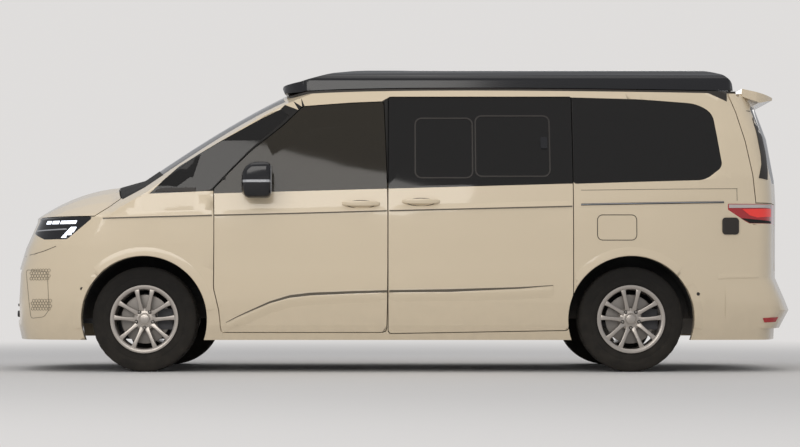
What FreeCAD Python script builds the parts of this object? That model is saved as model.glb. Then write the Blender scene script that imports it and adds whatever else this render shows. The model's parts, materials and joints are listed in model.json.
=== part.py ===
import FreeCAD, Part
import math
import os
from types import SimpleNamespace
from FreeCAD import Vector

# Camper van with a lifting roof, in millimetres
# The van faces -X, its left side is at -Y and +Z is up
# The origin lies on the ground under the middle of the body

os.makedirs("parts", exist_ok=True)
doc = FreeCAD.newDocument("camper_van")

SIZES = [
    # whole van
    ("body_width", 1941), ("body_height", 1990), ("wheelbase", 3124),
    ("front_overhang", 945), ("rear_overhang", 1104),
    # walls, seams and small clearances
    ("wall", 60), ("bonnet_wall", 36), ("cowl_wall", 14), ("lip_thick", 12), ("lip_width", 18), ("glass_thick", 6), ("glass_inset", 2),
    ("seam", 5.5), ("bonnet_gap", 7.5), ("seat_gap", 0.3), ("overrun", 120), ("corner_radius", 30),
    # plan rounding of nose and tail
    ("nose_length", 1190), ("tail_length", 900), ("crown_power", 2.2),
    # wheels
    ("tyre_radius", 338), ("tyre_width", 213), ("rim_radius", 219), ("rim_width", 196),
    ("track_front", 1612), ("track_rear", 1626), ("arch_radius", 405), ("liner_gap", 5),
    ("liner_wall", 5), ("front_well_depth", 490), ("rear_well_depth", 330),
    ("disc_radius", 158), ("disc_thick", 26), ("kingpin_offset", 72),
    # floor and underbody
    ("floor_top", 385), ("floor_thick", 45), ("rocker_width", 130), ("bulkhead_thick", 40),
    ("socket_radius", 21), ("socket_root", 35), ("socket_proud_front", 148), ("socket_proud_rear", 218.8),
    ("socket_bore_radius", 9), ("socket_depth", 45), ("socket_drop_front", 15), ("socket_drop_rear", 5),
    # front doors
    ("hinge_depth", 26), ("hinge_setback", 71), ("hinge_edge_radius", 72),
    ("hinge_pin_radius", 6), ("hinge_barrel_radius", 11), ("hinge_barrel_length", 60),
    ("pin_clearance", 0.4), ("door_taper", 10),
    # roof
    ("roof_shell_wall", 22), ("roof_half_width", 742), ("roof_gap", 6), ("gutter_thick", 14),
    ("opening_half_width", 560), ("bellows_wall", 14), ("bellows_height", 62),
    ("gate_axis_setback", 1.675), ("gate_axis_drop", 178), ("gate_edge_radius", 31),
    ("lug_width", 20), ("lug_radius", 11), ("gate_lug_y", 450), ("roof_lug_y", 600), ("bonnet_lug_y", 612), ("bonnet_arm_drop", 165),
    # front suspension and steering
    ("kingpin_radius", 20), ("stub_radius", 24), ("arm_half_width", 22), ("arm_thick", 24),
    ("steering_wheel_radius", 188), ("steering_rim_radius", 15), ("steering_tilt", 25),
    # mirrors
    ("mirror_length", 205), ("mirror_width", 165), ("mirror_height", 200),
    # cabin
    ("seat_width", 520), ("seat_depth", 500), ("cushion_thick", 130), ("seat_base_height", 300),
    ("backrest_height", 620), ("backrest_thick", 120), ("headrest_height", 190),
    ("kitchen_width", 430), ("kitchen_height", 780),
]
sheet = doc.addObject("Spreadsheet::Sheet", "sizes")
for row, (alias, value) in enumerate(SIZES, start=1):
    sheet.set("A%d" % row, alias)
    sheet.set("B%d" % row, str(value))
    sheet.setAlias("B%d" % row, alias)
doc.recompute()
D = SimpleNamespace(**{alias: float(sheet.get(alias)) for alias, _ in SIZES})

length = D.front_overhang + D.wheelbase + D.rear_overhang
half_width = D.body_width / 2
front_axle_x = D.front_overhang - length / 2
rear_axle_x = front_axle_x + D.wheelbase
LEFT, RIGHT = -1, 1
nodes = []


def station(share):
    """Length along the van: below 0 front overhang, 0 to 1 wheelbase, above 1 rear overhang."""
    if share < 0:
        return front_axle_x + share * D.front_overhang
    if share <= 1:
        return front_axle_x + share * D.wheelbase
    return rear_axle_x + (share - 1) * D.rear_overhang


def height(share):
    return share * D.body_height


def points_of(shares):
    return [(station(a), height(b)) for a, b in shares]


def add_node(name, shape):
    feature = doc.addObject("Part::Feature", name)
    feature.Label = name
    feature.Shape = shape
    nodes.append(feature)
    return shape


def box(x0, x1, y0, y1, z0, z1):
    return Part.makeBox(x1 - x0, y1 - y0, z1 - z0, Vector(x0, y0, z0))


def cylinder_y(radius, x, z, y0, y1):
    return Part.makeCylinder(radius, y1 - y0, Vector(x, y0, z), Vector(0, 1, 0))


def cylinder_z(radius, x, y, z0, z1):
    return Part.makeCylinder(radius, z1 - z0, Vector(x, y, z0), Vector(0, 0, 1))


def mirrored(shape):
    return shape.mirror(Vector(0, 0, 0), Vector(0, 1, 0))


def both_sides(shape):
    return Part.Compound([shape, mirrored(shape)])


# Body volume: plan contours give sides, nose and tail
# Each level is (height, nose station, tail station, half width, rise along the length)
LOW_SHARES = [(0.1030, -0.972, 1.912, 0.940, 0.0), (0.1508, -0.993, 1.914, 0.963, 0.0),
              (0.2261, -1.0, 1.916, 0.984, 0.0), (0.3317, -0.993, 1.918, 0.996, 0.010),
              (0.4271, -0.940, 1.919, 1.0, 0.018), (0.5211, -0.861, 1.922, 0.999, 0.0257)]
HIGH_SHARES = [(0.5211, -0.861, 1.922, 0.999, 0.0257), (0.5980, -0.845, 1.918, 0.982, 0.0246),
               (0.7538, -0.824, 1.881, 0.915, 0.010), (0.9548, -0.803, 1.768, 0.800, 0.0)]
# Plan knots are (setback, half width share, heading in degrees)
NOSE_SHARES = [(0.0, 0.0, 0), (0.085, 0.66, 20), (0.30, 0.905, 66), (1.0, 1.0, 90)]
TAIL_SHARES = [(1.0, 1.0, 90), (0.22, 0.93, 100), (0.05, 0.66, 162), (0.0, 0.0, 180)]
HANDLE_SHARE = 0.36


def plan_contour(level, inset, tail_out=0.0):
    level_share, nose_share, tail_share, width_share, rise = level
    x_nose = station(nose_share) + inset
    x_tail = station(tail_share) - inset + tail_out
    half = width_share * half_width - inset
    knots = [(x_nose + a * D.nose_length, b * half, math.radians(h)) for a, b, h in NOSE_SHARES]
    knots += [(x_tail - a * D.tail_length, b * half, math.radians(h)) for a, b, h in TAIL_SHARES]
    edges = []
    for side in (LEFT, RIGHT):
        run = []
        for (xa, ya, ha), (xb, yb, hb) in zip(knots, knots[1:]):
            handle = HANDLE_SHARE * math.hypot(xb - xa, yb - ya)
            flat = [(xa, ya), (xa + handle * math.sin(ha), ya + handle * math.cos(ha)),
                    (xb - handle * math.sin(hb), yb - handle * math.cos(hb)), (xb, yb)]
            if ha == hb:
                flat = [flat[0], flat[-1]]
            poles = [Vector(x, side * y, height(level_share) + rise * x) for x, y in flat]
            curve = Part.BezierCurve()
            curve.setPoles(poles)
            run.append(curve.toShape())
        edges += run if side == LEFT else run[::-1]
    return Part.Wire(edges)


def plan_volume(levels, inset, tail_out=0.0):
    return Part.makeLoft([plan_contour(level, inset, tail_out) for level in levels], True, True)


# Side silhouettes give bonnet, windscreen and roof: poles at the middle and at the full width
MIDDLE_SHARES = [
    [(-1.035, 0.4422), (-0.845, 0.5226), (-0.591, 0.6055), (-0.263, 0.6191)],
    [(-0.084, 0.6397), (0.0613, 0.7337), (0.1669, 0.8417), (0.2694, 0.9221)],
    [(0.2694, 0.9221), (0.4294, 0.9397), (0.8456, 0.9347), (2.103, 0.9171)]]
EDGE_SHARES = [
    [(-1.035, 0.3518), (-0.845, 0.4171), (-0.591, 0.4824), (-0.252, 0.4950)],
    [(0.0043, 0.5759), (0.1253, 0.7035), (0.2694, 0.8543), (0.3804, 0.8970)],
    [(0.3804, 0.8970), (0.5254, 0.9106), (0.8456, 0.9106), (2.103, 0.8920)]]
STATION_SHARES = [0.0, 0.3, 0.55, 0.75, 0.9, 1.04]
INNER_STATION_SHARES = [0.0, 0.4, 0.75, 1.04]


def silhouette(across, inset):
    blend = abs(across) ** D.crown_power
    y = across * half_width
    runs = []
    for middle, edge in zip(MIDDLE_SHARES, EDGE_SHARES):
        pairs = zip(points_of(middle), points_of(edge))
        runs.append([Vector(p[0] + (q[0] - p[0]) * blend, y, p[1] + (q[1] - p[1]) * blend - inset)
                     for p, q in pairs])
    front = station(-1) - D.overrun
    back = station(2) + D.overrun
    bonnet, screen, roof = runs
    low_front = Vector(front, y, 0)
    high_front = Vector(front, y, bonnet[0].z - D.overrun)
    high_back = Vector(back, y, roof[-1].z)
    low_back = Vector(back, y, 0)
    edges = [Part.makeLine(low_front, high_front), Part.makeLine(high_front, bonnet[0])]
    for run in (bonnet, screen, roof):
        if run is screen:
            edges.append(Part.makeLine(bonnet[-1], screen[0]))
        curve = Part.BezierCurve()
        curve.setPoles(run)
        edges.append(curve.toShape())
    edges += [Part.makeLine(roof[-1], high_back), Part.makeLine(high_back, low_back),
              Part.makeLine(low_back, low_front)]
    return Part.Wire(edges)


def hull(inset, plain=False):
    """The whole body volume, its skin moved inwards by inset."""
    shares = INNER_STATION_SHARES if plain else STATION_SHARES
    across = [-share for share in reversed(shares[1:])] + shares
    low, high = LOW_SHARES, HIGH_SHARES
    if plain:
        low = [low[0], low[2], low[-1]]
    sides = plan_volume(low, inset).fuse(plan_volume(high, inset))
    return sides.common(Part.makeLoft([silhouette(a, inset) for a in across], True, True))


# Outlines with round corners, grown or shrunk evenly
def grown_polygon(points, grow):
    """Moves each side of a polygon outwards by grow; the points run anticlockwise."""
    moved = []
    count = len(points)
    for i in range(count):
        before, here, after = points[i - 1], points[i], points[(i + 1) % count]
        d1 = math.atan2(here[1] - before[1], here[0] - before[0])
        d2 = math.atan2(after[1] - here[1], after[0] - here[0])
        n1 = (math.sin(d1), -math.cos(d1))
        n2 = (math.sin(d2), -math.cos(d2))
        spread = 1 + n1[0] * n2[0] + n1[1] * n2[1]
        moved.append((here[0] + grow * (n1[0] + n2[0]) / spread,
                      here[1] + grow * (n1[1] + n2[1]) / spread))
    return moved


def outline_wire(points, radii, grow, place):
    """A closed wire through the points with an arc of its radius at each corner."""
    area = sum(a[0] * b[1] - b[0] * a[1] for a, b in zip(points, points[1:] + points[:1]))
    if area < 0:
        points, radii = points[::-1], radii[::-1]
    outer = grown_polygon(points, grow)
    count = len(points)
    edges = []
    corners = []
    for i in range(count):
        before, here, after = outer[i - 1], outer[i], outer[(i + 1) % count]
        a = math.atan2(here[1] - before[1], here[0] - before[0])
        b = math.atan2(after[1] - here[1], after[0] - here[0])
        turn = (b - a + math.pi) % (2 * math.pi) - math.pi
        if radii[i] == 0:
            corners.append((here, here, None))
            continue
        radius = max(radii[i] + (grow if turn > 0 else -grow), D.seat_gap)
        back = radius * math.tan(abs(turn) / 2)
        start = (here[0] - back * math.cos(a), here[1] - back * math.sin(a))
        end = (here[0] + back * math.cos(b), here[1] + back * math.sin(b))
        bulge = radius / math.cos(turn / 2) - radius
        normal = a + turn / 2 + (math.pi / 2 if turn > 0 else -math.pi / 2)
        middle = (here[0] + bulge * math.cos(normal), here[1] + bulge * math.sin(normal))
        corners.append((start, end, middle))
    for i in range(count):
        start, end, middle = corners[i]
        if middle:
            edges.append(Part.Arc(place(*start), place(*middle), place(*end)).toShape())
        following = corners[(i + 1) % count][0]
        if math.dist(end, following) > D.seat_gap / 10:
            edges.append(Part.makeLine(place(*end), place(*following)))
    return Part.Wire(edges)


def prism(points, radii, grow, low, high, taper_low=0.0, taper_high=0.0, axis="y"):
    """A closed outline drawn out along an axis, grown by its tapers at its two ends."""
    def at(level):
        if axis == "y":
            return lambda a, b: Vector(a, level, b)
        if axis == "x":
            return lambda a, b: Vector(level, a, b)
        return lambda a, b: Vector(a, b, level)
    if not isinstance(radii, (list, tuple)):
        radii = [radii] * len(points)
    ends = [outline_wire(points, list(radii), grow + taper_low, at(low)),
            outline_wire(points, list(radii), grow + taper_high, at(high))]
    return Part.makeLoft(ends, True, True)


far = half_width + D.overrun
deep = half_width * 0.62


def side_prism(points, radii, grow, taper=0.0):
    """A tapered cutter through the left side wall, wider outside."""
    slope = math.tan(math.radians(taper))
    return prism(points, radii, grow, -far, -deep, slope * (far - half_width),
                 -slope * (half_width - deep))


def cross_prism(points, radii, grow):
    return prism(points, radii, grow, -far, far)


skin = hull(0)
inside = hull(D.wall, plain=True)
clear_inside = hull(D.wall + D.seam, plain=True)
wall = skin.cut(inside)
cut_band = hull(-D.seam, plain=True).cut(clear_inside)
glass_band = hull(D.glass_inset).cut(hull(D.glass_inset + D.glass_thick))
glass_bed = hull(-D.seam).cut(hull(D.glass_inset + D.glass_thick + D.seat_gap))

# Outlines in the side view
belt_shares = [(-0.0048, 0.5686), (1.4356, 0.6185)]
hinge_edge_shares = [(0.30, 0.1200), (0.42, 0.1350), (0.42, 0.1617), (0.53, 0.2004), (0.965, 0.2648),
                     (1.0, 0.2809), (1.0, 0.6200)]
door_shares = [(0.1200, 0.1230), (0.1200, 0.5830), (0.1411, 0.5894), (0.1742, 0.6511), (0.2155, 0.7192), (0.2775, 0.8035),
               (0.3106, 0.8587), (0.3180, 0.8741), (0.4217, 0.8872), (0.5006, 0.8925), (0.5006, 0.1230)]
door_radii = [0, 0, 0, 900, 900, 900, 40, 60, 3000, 12, 20]
slider_shares = [(0.5019, 0.1250), (0.5019, 0.8925), (0.8802, 0.8925), (0.8802, 0.2487), (0.8700, 0.1350)]
slider_radii = [20, 12, 12, 300, 20]
rear_glass_shares = [(0.8840, 0.6060), (0.8840, 0.8924), (1.0659, 0.8860), (1.4004, 0.8722),
                     (1.4943, 0.8420), (1.5330, 0.6880), (1.5413, 0.6640), (1.4356, 0.6185)]
rear_glass_radii = [8, 8, 2000, 250, 110, 90, 60, 160]
front_glass_shares = [(0.0109, 0.5740), (0.1340, 0.5830), (0.1742, 0.6511), (0.2155, 0.7192),
                      (0.2775, 0.8035), (0.2950, 0.8330), (0.2765, 0.8513), (0.2351, 0.8188),
                      (0.1521, 0.7439), (0.0691, 0.6657)]
bonnet_shares = [(-1.20, 0.5080), (-0.869, 0.5080), (-0.7667, 0.5025), (-0.3402, 0.5025), (-0.0857, 0.6018),
                 (-0.0857, 0.95), (-1.20, 0.95)]
lamp_shares = [(-0.7667, 0.5025), (-0.3402, 0.5025), (-0.4296, 0.4678), (-0.5328, 0.4286),
               (-0.7048, 0.4286), (-0.7529, 0.4384), (-0.8079, 0.4515)]
front_seam_shares = [(-1.20, 0.02), (-1.20, 0.5300), (-0.60, 0.5300), (-0.5328, 0.4286),
                     (-0.3400, 0.3250), (0.0, 0.1688), (0.0, 0.02)]
gate_shares = [(1.62, 0.99), (1.588, 0.927), (1.600, 0.8969), (1.6352, 0.8448), (1.6822, 0.7471), (1.7174, 0.6397),
               (1.732, 0.5452), (2.12, 0.5452), (2.12, 0.99)]
tail_lamp_shares = [(1.5645, 0.5423), (1.5645, 0.5229), (1.6634, 0.4874), (1.6925, 0.4790), (2.12, 0.4790),
                    (2.12, 0.5423)]
rear_seam_shares = [(1.20, 0.02), (1.20, 0.2600), (1.3029, 0.3294), (1.4017, 0.3649), (1.5297, 0.4036),
                    (1.7041, 0.4681), (1.7099, 0.4778), (2.12, 0.4778), (2.12, 0.02)]
slider_pane_shares = [(0.5554, 0.6238), (0.5554, 0.8249), (0.8354, 0.8327), (0.8354, 0.6284)]
door_pane_shares = [(0.2080, 0.6050), (0.2500, 0.6900), (0.3200, 0.8100), (0.3500, 0.8600),
                    (0.4700, 0.8680), (0.4600, 0.6100)]
quarter_pane_shares = [(0.9056, 0.6251), (0.9056, 0.8554), (1.3900, 0.8500), (1.4697, 0.6400)]

# Bonnet, cowl and windscreen
bonnet_side = cross_prism(points_of(bonnet_shares), 0, -D.seam / 2)
above_bonnet = cross_prism(points_of(bonnet_shares), 0, D.seam / 2)
cowl_front = station(-0.263)
cowl_side = station(-0.0857)
screen_half_low = 0.825 * half_width
screen_half_high = 0.735 * half_width
screen_base = [(station(-0.210), height(0.7387)), (station(0.140), height(0.5327))]


def slab(points, low=-far, high=far):
    """A side-view polygon drawn out across the van."""
    corners = [Vector(x, low, z) for x, z in points]
    return Part.Face(Part.makePolygon(corners + corners[:1])).extrude(Vector(0, high - low, 0))


def bonnet_plan(shift):
    """Everything ahead of the bonnet's rear edge, which bows forward in the middle."""
    front = station(-1) - D.overrun
    back = Part.Arc(Vector(cowl_side + shift, -far, 0), Vector(cowl_front + shift, 0, 0),
                    Vector(cowl_side + shift, far, 0)).toShape()
    sides = Part.makePolygon([Vector(cowl_side + shift, far, 0), Vector(front, far, 0),
                              Vector(front, -far, 0), Vector(cowl_side + shift, -far, 0)])
    face = Part.Face(Part.Wire([back] + sides.Edges))
    return face.extrude(Vector(0, 0, D.body_height))


def screen_outline(grow):
    low, high = height(0.585), height(0.96)
    return prism([(-screen_half_low, low), (screen_half_low, low),
                  (screen_half_high, high), (-screen_half_high, high)],
                 D.corner_radius, grow, station(-0.3), station(0.33), axis="x")


bonnet_inside = hull(D.bonnet_wall, plain=True)
thin_wall = skin.cut(bonnet_inside)
front_thin = thin_wall.common(box(station(-1) - D.overrun, station(0.2), -far, far, 0, D.body_height))
bonnet = front_thin.common(bonnet_side).common(bonnet_plan(-D.bonnet_gap))
rear_lip = hull(D.lip_thick, plain=True).cut(bonnet_plan(-D.bonnet_gap - D.lip_width))
bonnet = bonnet.cut(rear_lip.common(box(station(-0.9), station(0.2), -far, far, 0, D.body_height)))
screen_region = slab([screen_base[0], screen_base[1], (station(0.40), height(0.60)),
                      (station(0.2694), height(0.9221)), (station(0.22), height(1.05)),
                      (screen_base[0][0], height(1.05))])
screen_tool = screen_region.common(screen_outline(0))
windscreen = glass_band.common(screen_tool)
screen_hole = screen_region.common(screen_outline(-D.corner_radius))
cowl_region = slab([(station(-0.40), height(0.54)), (station(0.06), height(0.54)),
                    screen_base[1], screen_base[0]], -screen_half_low, screen_half_low)
cowl_region = cowl_region.cut(bonnet_plan(0))
cowl = skin.cut(hull(D.cowl_wall, plain=True)).common(cowl_region)

# Bonnet hinges: an arm under the panel on each side and a lug with its pin on the bulkhead
bulkhead_x = front_axle_x + D.wall
bonnet_axis_x = front_axle_x - D.wall
bonnet_axis_z = height(0.585)
arm_y = D.bonnet_lug_y
arm_edge_x = station(-0.235)
arm_low = bonnet_axis_z - D.bonnet_arm_drop
arm_points = [(bonnet_axis_x - D.lug_radius, bonnet_axis_z + D.lug_radius),
              (bonnet_axis_x - D.lug_radius, arm_low + D.lug_width), (arm_edge_x, arm_low + D.lug_width),
              (arm_edge_x, bonnet_axis_z + D.wall), (arm_edge_x - 2 * D.lug_width, bonnet_axis_z + D.wall),
              (arm_edge_x - D.lug_width, bonnet_axis_z - D.wall), (arm_edge_x - D.lug_width, arm_low),
              (bonnet_axis_x + D.lug_radius, arm_low), (bonnet_axis_x + D.lug_radius, bonnet_axis_z + D.lug_radius)]
bonnet_arm = slab(arm_points, -arm_y, -arm_y + D.lug_width).common(hull(D.bonnet_wall / 2, plain=True))
bonnet_arm = bonnet_arm.cut(cylinder_y(D.hinge_pin_radius + D.pin_clearance, bonnet_axis_x, bonnet_axis_z, -far, far))
bonnet = bonnet.fuse([bonnet_arm, mirrored(bonnet_arm)])
bonnet_lug = box(bonnet_axis_x - D.lug_radius, bulkhead_x, -arm_y - D.seam - D.lug_width, -arm_y - D.seam,
                 bonnet_axis_z - D.lug_radius, bonnet_axis_z + D.lug_radius)
bonnet_pin = cylinder_y(D.hinge_pin_radius, bonnet_axis_x, bonnet_axis_z, -arm_y - D.seam,
                        -arm_y + D.lug_width + D.seam)
bonnet_lug = bonnet_lug.fuse(bonnet_pin)
# Front door with its hinge edge
hinge_x = station(0.144) + D.hinge_setback
hinge_y = -(half_width - D.hinge_depth)
hinge_levels = [height(0.30), height(0.50)]


def turned_edge(grow):
    """The round room about the hinge that the door's front edge sweeps through."""
    profile = [(share * D.hinge_edge_radius + grow, height(level)) for share, level in hinge_edge_shares]
    corners = [Vector(hinge_x - r, hinge_y, z) for r, z in profile]
    corners += [Vector(hinge_x, hinge_y, profile[-1][1]), Vector(hinge_x, hinge_y, profile[0][1])]
    face = Part.Face(Part.makePolygon(corners + corners[:1]))
    return face.revolve(Vector(hinge_x, hinge_y, 0), Vector(0, 0, 1), 360)


def hinge_region(grow):
    """Plan region behind the front edge, which is turned about the hinge at every height."""
    behind = box(hinge_x, station(1), -far, 0, 0, D.body_height)
    return behind.fuse(turned_edge(grow))


def hinge_pocket(level):
    """Room in the door's edge for the body's hinge eye, arm and their swing."""
    low, high = level - D.hinge_barrel_length / 2 - D.seam, level + D.hinge_barrel_length / 2 + D.seam
    around = cylinder_z(D.hinge_barrel_radius + D.seam, hinge_x, hinge_y, low, high)
    swing = box(hinge_x - 3 * D.hinge_edge_radius, hinge_x + D.hinge_barrel_radius + D.seam, hinge_y,
                hinge_y + 3 * D.wall, low, high)
    return around.fuse(swing)


def hinge_eye(level):
    """The body's half of a hinge: eye, arm and pin."""
    low, high = level - D.hinge_barrel_length / 2, level + D.hinge_barrel_length / 2
    eye = cylinder_z(D.hinge_barrel_radius, hinge_x, hinge_y, low, high)
    arm = box(hinge_x - D.hinge_pin_radius, hinge_x + D.hinge_barrel_radius, hinge_y,
              hinge_y + D.hinge_edge_radius + 2 * D.hinge_barrel_radius, low, high)
    pin = cylinder_z(D.hinge_pin_radius, hinge_x, hinge_y, low - D.hinge_barrel_length / 2,
                     high + D.hinge_barrel_length / 2)
    return eye.fuse([arm, pin])


left_wall = wall.common(box(station(0.10), station(0.90), -far, -deep, 0, D.body_height))
door_points = points_of(door_shares)
door_prism = side_prism(door_points, door_radii, -D.seam / 2, D.door_taper)
door_tool = door_prism.common(hinge_region(0))
door_wide = side_prism(door_points, door_radii, D.seam / 2, D.door_taper)
door_hole = door_wide.common(hinge_region(D.seam + D.pin_clearance)).cut(clear_inside)
pin_bore = cylinder_z(D.hinge_pin_radius + D.pin_clearance, hinge_x, hinge_y,
                      hinge_levels[0] - D.hinge_barrel_length - D.pin_clearance,
                      hinge_levels[1] + D.hinge_barrel_length + D.pin_clearance)
door = left_wall.common(door_tool).cut([hinge_pocket(level) for level in hinge_levels] + [pin_bore])
slider_points = points_of(slider_shares)
slider_side = side_prism(slider_points, slider_radii, 0).cut(door_wide)
slider_hole = side_prism(slider_points, slider_radii, D.seam).cut(clear_inside)
arch_front = cylinder_y(D.arch_radius, front_axle_x, D.tyre_radius, -far, -deep)
arch_rear = cylinder_y(D.arch_radius, rear_axle_x, D.tyre_radius, -far, -deep)
slider = left_wall.common(slider_side).cut(arch_rear)

# Glass of the side: flush black panels over the frames above the belt
belt = points_of(belt_shares)
belt_slope = (belt[1][1] - belt[0][1]) / (belt[1][0] - belt[0][0])
above_belt = [(x, belt[0][1] + belt_slope * (x - belt[0][0])) for x in (station(-0.3), station(1.9))]
above_belt += [(station(1.9), D.body_height), (station(-0.3), D.body_height)]
above_tool = slab(above_belt, -far, 0)
left_glass = glass_band.common(box(station(-0.1), station(1.7), -far, -deep, height(0.5), D.body_height))
door_glass = left_glass.common(door_tool.common(above_tool))
slider_glass = left_glass.common(slider_side.common(above_tool))
bed_above = glass_bed.common(above_tool)
door = door.cut([bed_above, side_prism(points_of(door_pane_shares), D.corner_radius, 0)])
slider = slider.cut([bed_above, side_prism(points_of(slider_pane_shares), D.corner_radius, 0)])
rear_glass_tool = side_prism(points_of(rear_glass_shares), rear_glass_radii, 0)
rear_glass = left_glass.common(rear_glass_tool)
front_glass_tool = side_prism(points_of(front_glass_shares), 0, 0).cut(door_wide)
front_glass = left_glass.common(front_glass_tool)

# Front corner: lamp, bumper and fender share one wall
front_zone = box(station(-1) - D.overrun, station(0.1615), -far, far, 0, height(0.60))
below_belt = slab([(station(-1.2), 0), (station(0.20), 0), (station(0.20), height(0.5740)),
                   (cowl_side, height(0.5660)), (cowl_side, height(0.6018)), (station(-1.2), height(0.6018))])
front_fixed = below_belt.cut([above_bonnet, cowl_region, door_hole, mirrored(door_hole)])
zone_wall = wall.common(front_zone).common(front_fixed)
lamp_tool = side_prism(points_of(lamp_shares), [12, 12, 60, 40, 40, 12, 12], 0)
lamp_tool = lamp_tool.common(box(station(-1.1), station(0), -far, -deep, 0, D.body_height))
head_lamp = zone_wall.common(lamp_tool)
seam_tool = cross_prism(points_of(front_seam_shares), 0, 0)
arches = both_sides(arch_front)
zone_rest = zone_wall.cut([lamp_tool, mirrored(lamp_tool), arch_front, mirrored(arch_front)])
bumper = zone_rest.common(seam_tool)
under_bonnet = box(station(-0.60), station(0.02), -0.66 * half_width, 0, height(0.50), D.body_height)
fender_left = zone_rest.cut([seam_tool, under_bonnet])
fender_left = fender_left.common(box(station(-1.2), station(0.3), -far, 0, 0, D.body_height))

# Intake recess with its insert
intake_points = [(-0.55 * half_width, height(0.165)), (0.55 * half_width, height(0.165)),
                 (0.62 * half_width, height(0.335)), (-0.62 * half_width, height(0.335))]
intake_tool = prism(intake_points, D.corner_radius, 0, station(-1.1), station(-0.6), axis="x")
bumper = bumper.cut(intake_tool)
grille_depth = 0.4 * D.wall
grille = hull(grille_depth, plain=True).cut(hull(D.wall, plain=True)).common(intake_tool)

# Rear: gate, lamps and bumper
gate_axis_x = station(D.gate_axis_setback)
gate_axis_z = D.body_height - D.gate_axis_drop
rear_wall = wall.common(box(station(1.0), station(2) + D.overrun, -far, far, 0, D.body_height))
roof_tab = box(station(1.5), gate_axis_x - 0.42 * D.gate_edge_radius, -D.roof_half_width, D.roof_half_width,
               height(0.88), D.body_height)
gate_low_points = [(-0.66 * half_width, height(0.325)), (0.66 * half_width, height(0.325)),
                   (0.66 * half_width, height(0.56)), (-0.66 * half_width, height(0.56))]
gate_points = points_of(gate_shares)


def gate_region(grow):
    side = cross_prism(gate_points, 0, grow)
    low = prism(gate_low_points, [60, 60, 0, 0], grow, station(1.6), station(2.1), axis="x")
    return side.fuse(low)


gate = rear_wall.common(gate_region(-D.seam / 2)).cut(roof_tab)
swing_centre = cylinder_y(D.gate_edge_radius + 1.1 * D.seam, gate_axis_x, gate_axis_z,
                          -D.roof_half_width, D.roof_half_width)
swing_side = cylinder_y(3 * D.gate_edge_radius, gate_axis_x, gate_axis_z, D.roof_half_width, far)
gate_hole = gate_region(D.seam / 2).cut(roof_tab).fuse([swing_centre, swing_side, mirrored(swing_side)])
spoiler_shares = [(1.683, 0.9260), (1.683, 0.9000), (1.790, 0.8800), (1.880, 0.8920), (1.885, 0.9010)]
spoiler_low, spoiler_high = 0.0, 0.0
spoiler = prism(points_of(spoiler_shares), [0, 0, 40, 6, 8], 0, -0.74 * half_width, 0.74 * half_width)
spoiler_plan = [(station(1.6), -0.76 * half_width), (station(1.80), -0.75 * half_width),
                (station(1.890), -0.60 * half_width), (station(1.890), 0.60 * half_width),
                (station(1.80), 0.75 * half_width), (station(1.6), 0.76 * half_width)]
spoiler = spoiler.common(prism(spoiler_plan, [0, 200, 60, 60, 200, 0], 0, height(0.8), D.body_height, axis="z"))
gate = gate.fuse(spoiler.cut(inside))
gate_lug_slot = box(station(1.5), gate_axis_x + D.lug_radius + D.seam, -D.gate_lug_y - D.seam,
                    -D.gate_lug_y + D.lug_width + D.seam, gate_axis_z - D.lug_radius - D.seam, D.body_height)
gate_pin_bore = cylinder_y(D.hinge_pin_radius + D.pin_clearance, gate_axis_x, gate_axis_z,
                           -D.gate_lug_y - 2 * D.lug_width - D.pin_clearance,
                           -D.gate_lug_y + 3 * D.lug_width + D.pin_clearance)
gate = gate.cut([gate_lug_slot, mirrored(gate_lug_slot), gate_pin_bore, mirrored(gate_pin_bore)])
gate_lug = box(gate_axis_x - 2 * D.gate_edge_radius, gate_axis_x, -D.gate_lug_y, -D.gate_lug_y + D.lug_width,
               gate_axis_z - D.lug_radius, gate_axis_z + D.lug_radius)
gate_lug = gate_lug.fuse([cylinder_y(D.lug_radius, gate_axis_x, gate_axis_z, -D.gate_lug_y,
                                     -D.gate_lug_y + D.lug_width),
                          cylinder_y(D.hinge_pin_radius, gate_axis_x, gate_axis_z,
                                     -D.gate_lug_y - 2 * D.lug_width, -D.gate_lug_y + 3 * D.lug_width)])
tail_lamp_tool = side_prism(points_of(tail_lamp_shares), 6, 0).cut(gate_hole)
tail_lamp = rear_wall.common(tail_lamp_tool)
rear_seam = cross_prism(points_of(rear_seam_shares), [0, 0, 200, 300, 300, 12, 12, 0, 0], 0)
bulge_shares = [(0.140, -0.9, 1.945, 0.950, 0), (0.1990, -0.9, 2.0, 0.972, 0), (0.2327, -0.9, 1.976, 0.980, 0),
                (0.3075, -0.9, 1.916, 0.990, 0)]
bulge = plan_volume(bulge_shares, 0).cut(plan_volume(bulge_shares, D.wall))
bulge = bulge.common(box(station(1.55), station(2.2), -far, far, 0, D.body_height))
rear_bumper = rear_wall.common(rear_seam).fuse(bulge).cut([gate_hole, arch_rear, mirrored(arch_rear)])

# Glass of the gate
gate_glass_points = [(-0.80 * half_width, height(0.6150)), (0.80 * half_width, height(0.6150)),
                     (0.72 * half_width, height(0.8700)), (-0.72 * half_width, height(0.8700))]
gate_glass_tool = prism(gate_glass_points, 60, 0, station(1.70), station(2.2), axis="x")
gate_glass = glass_band.common(gate_glass_tool)
gate_window = prism(gate_glass_points, 60, -0.8 * D.wall, station(1.70), station(2.2), axis="x")
gate = gate.cut([glass_bed.common(gate_glass_tool), gate_window])

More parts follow.
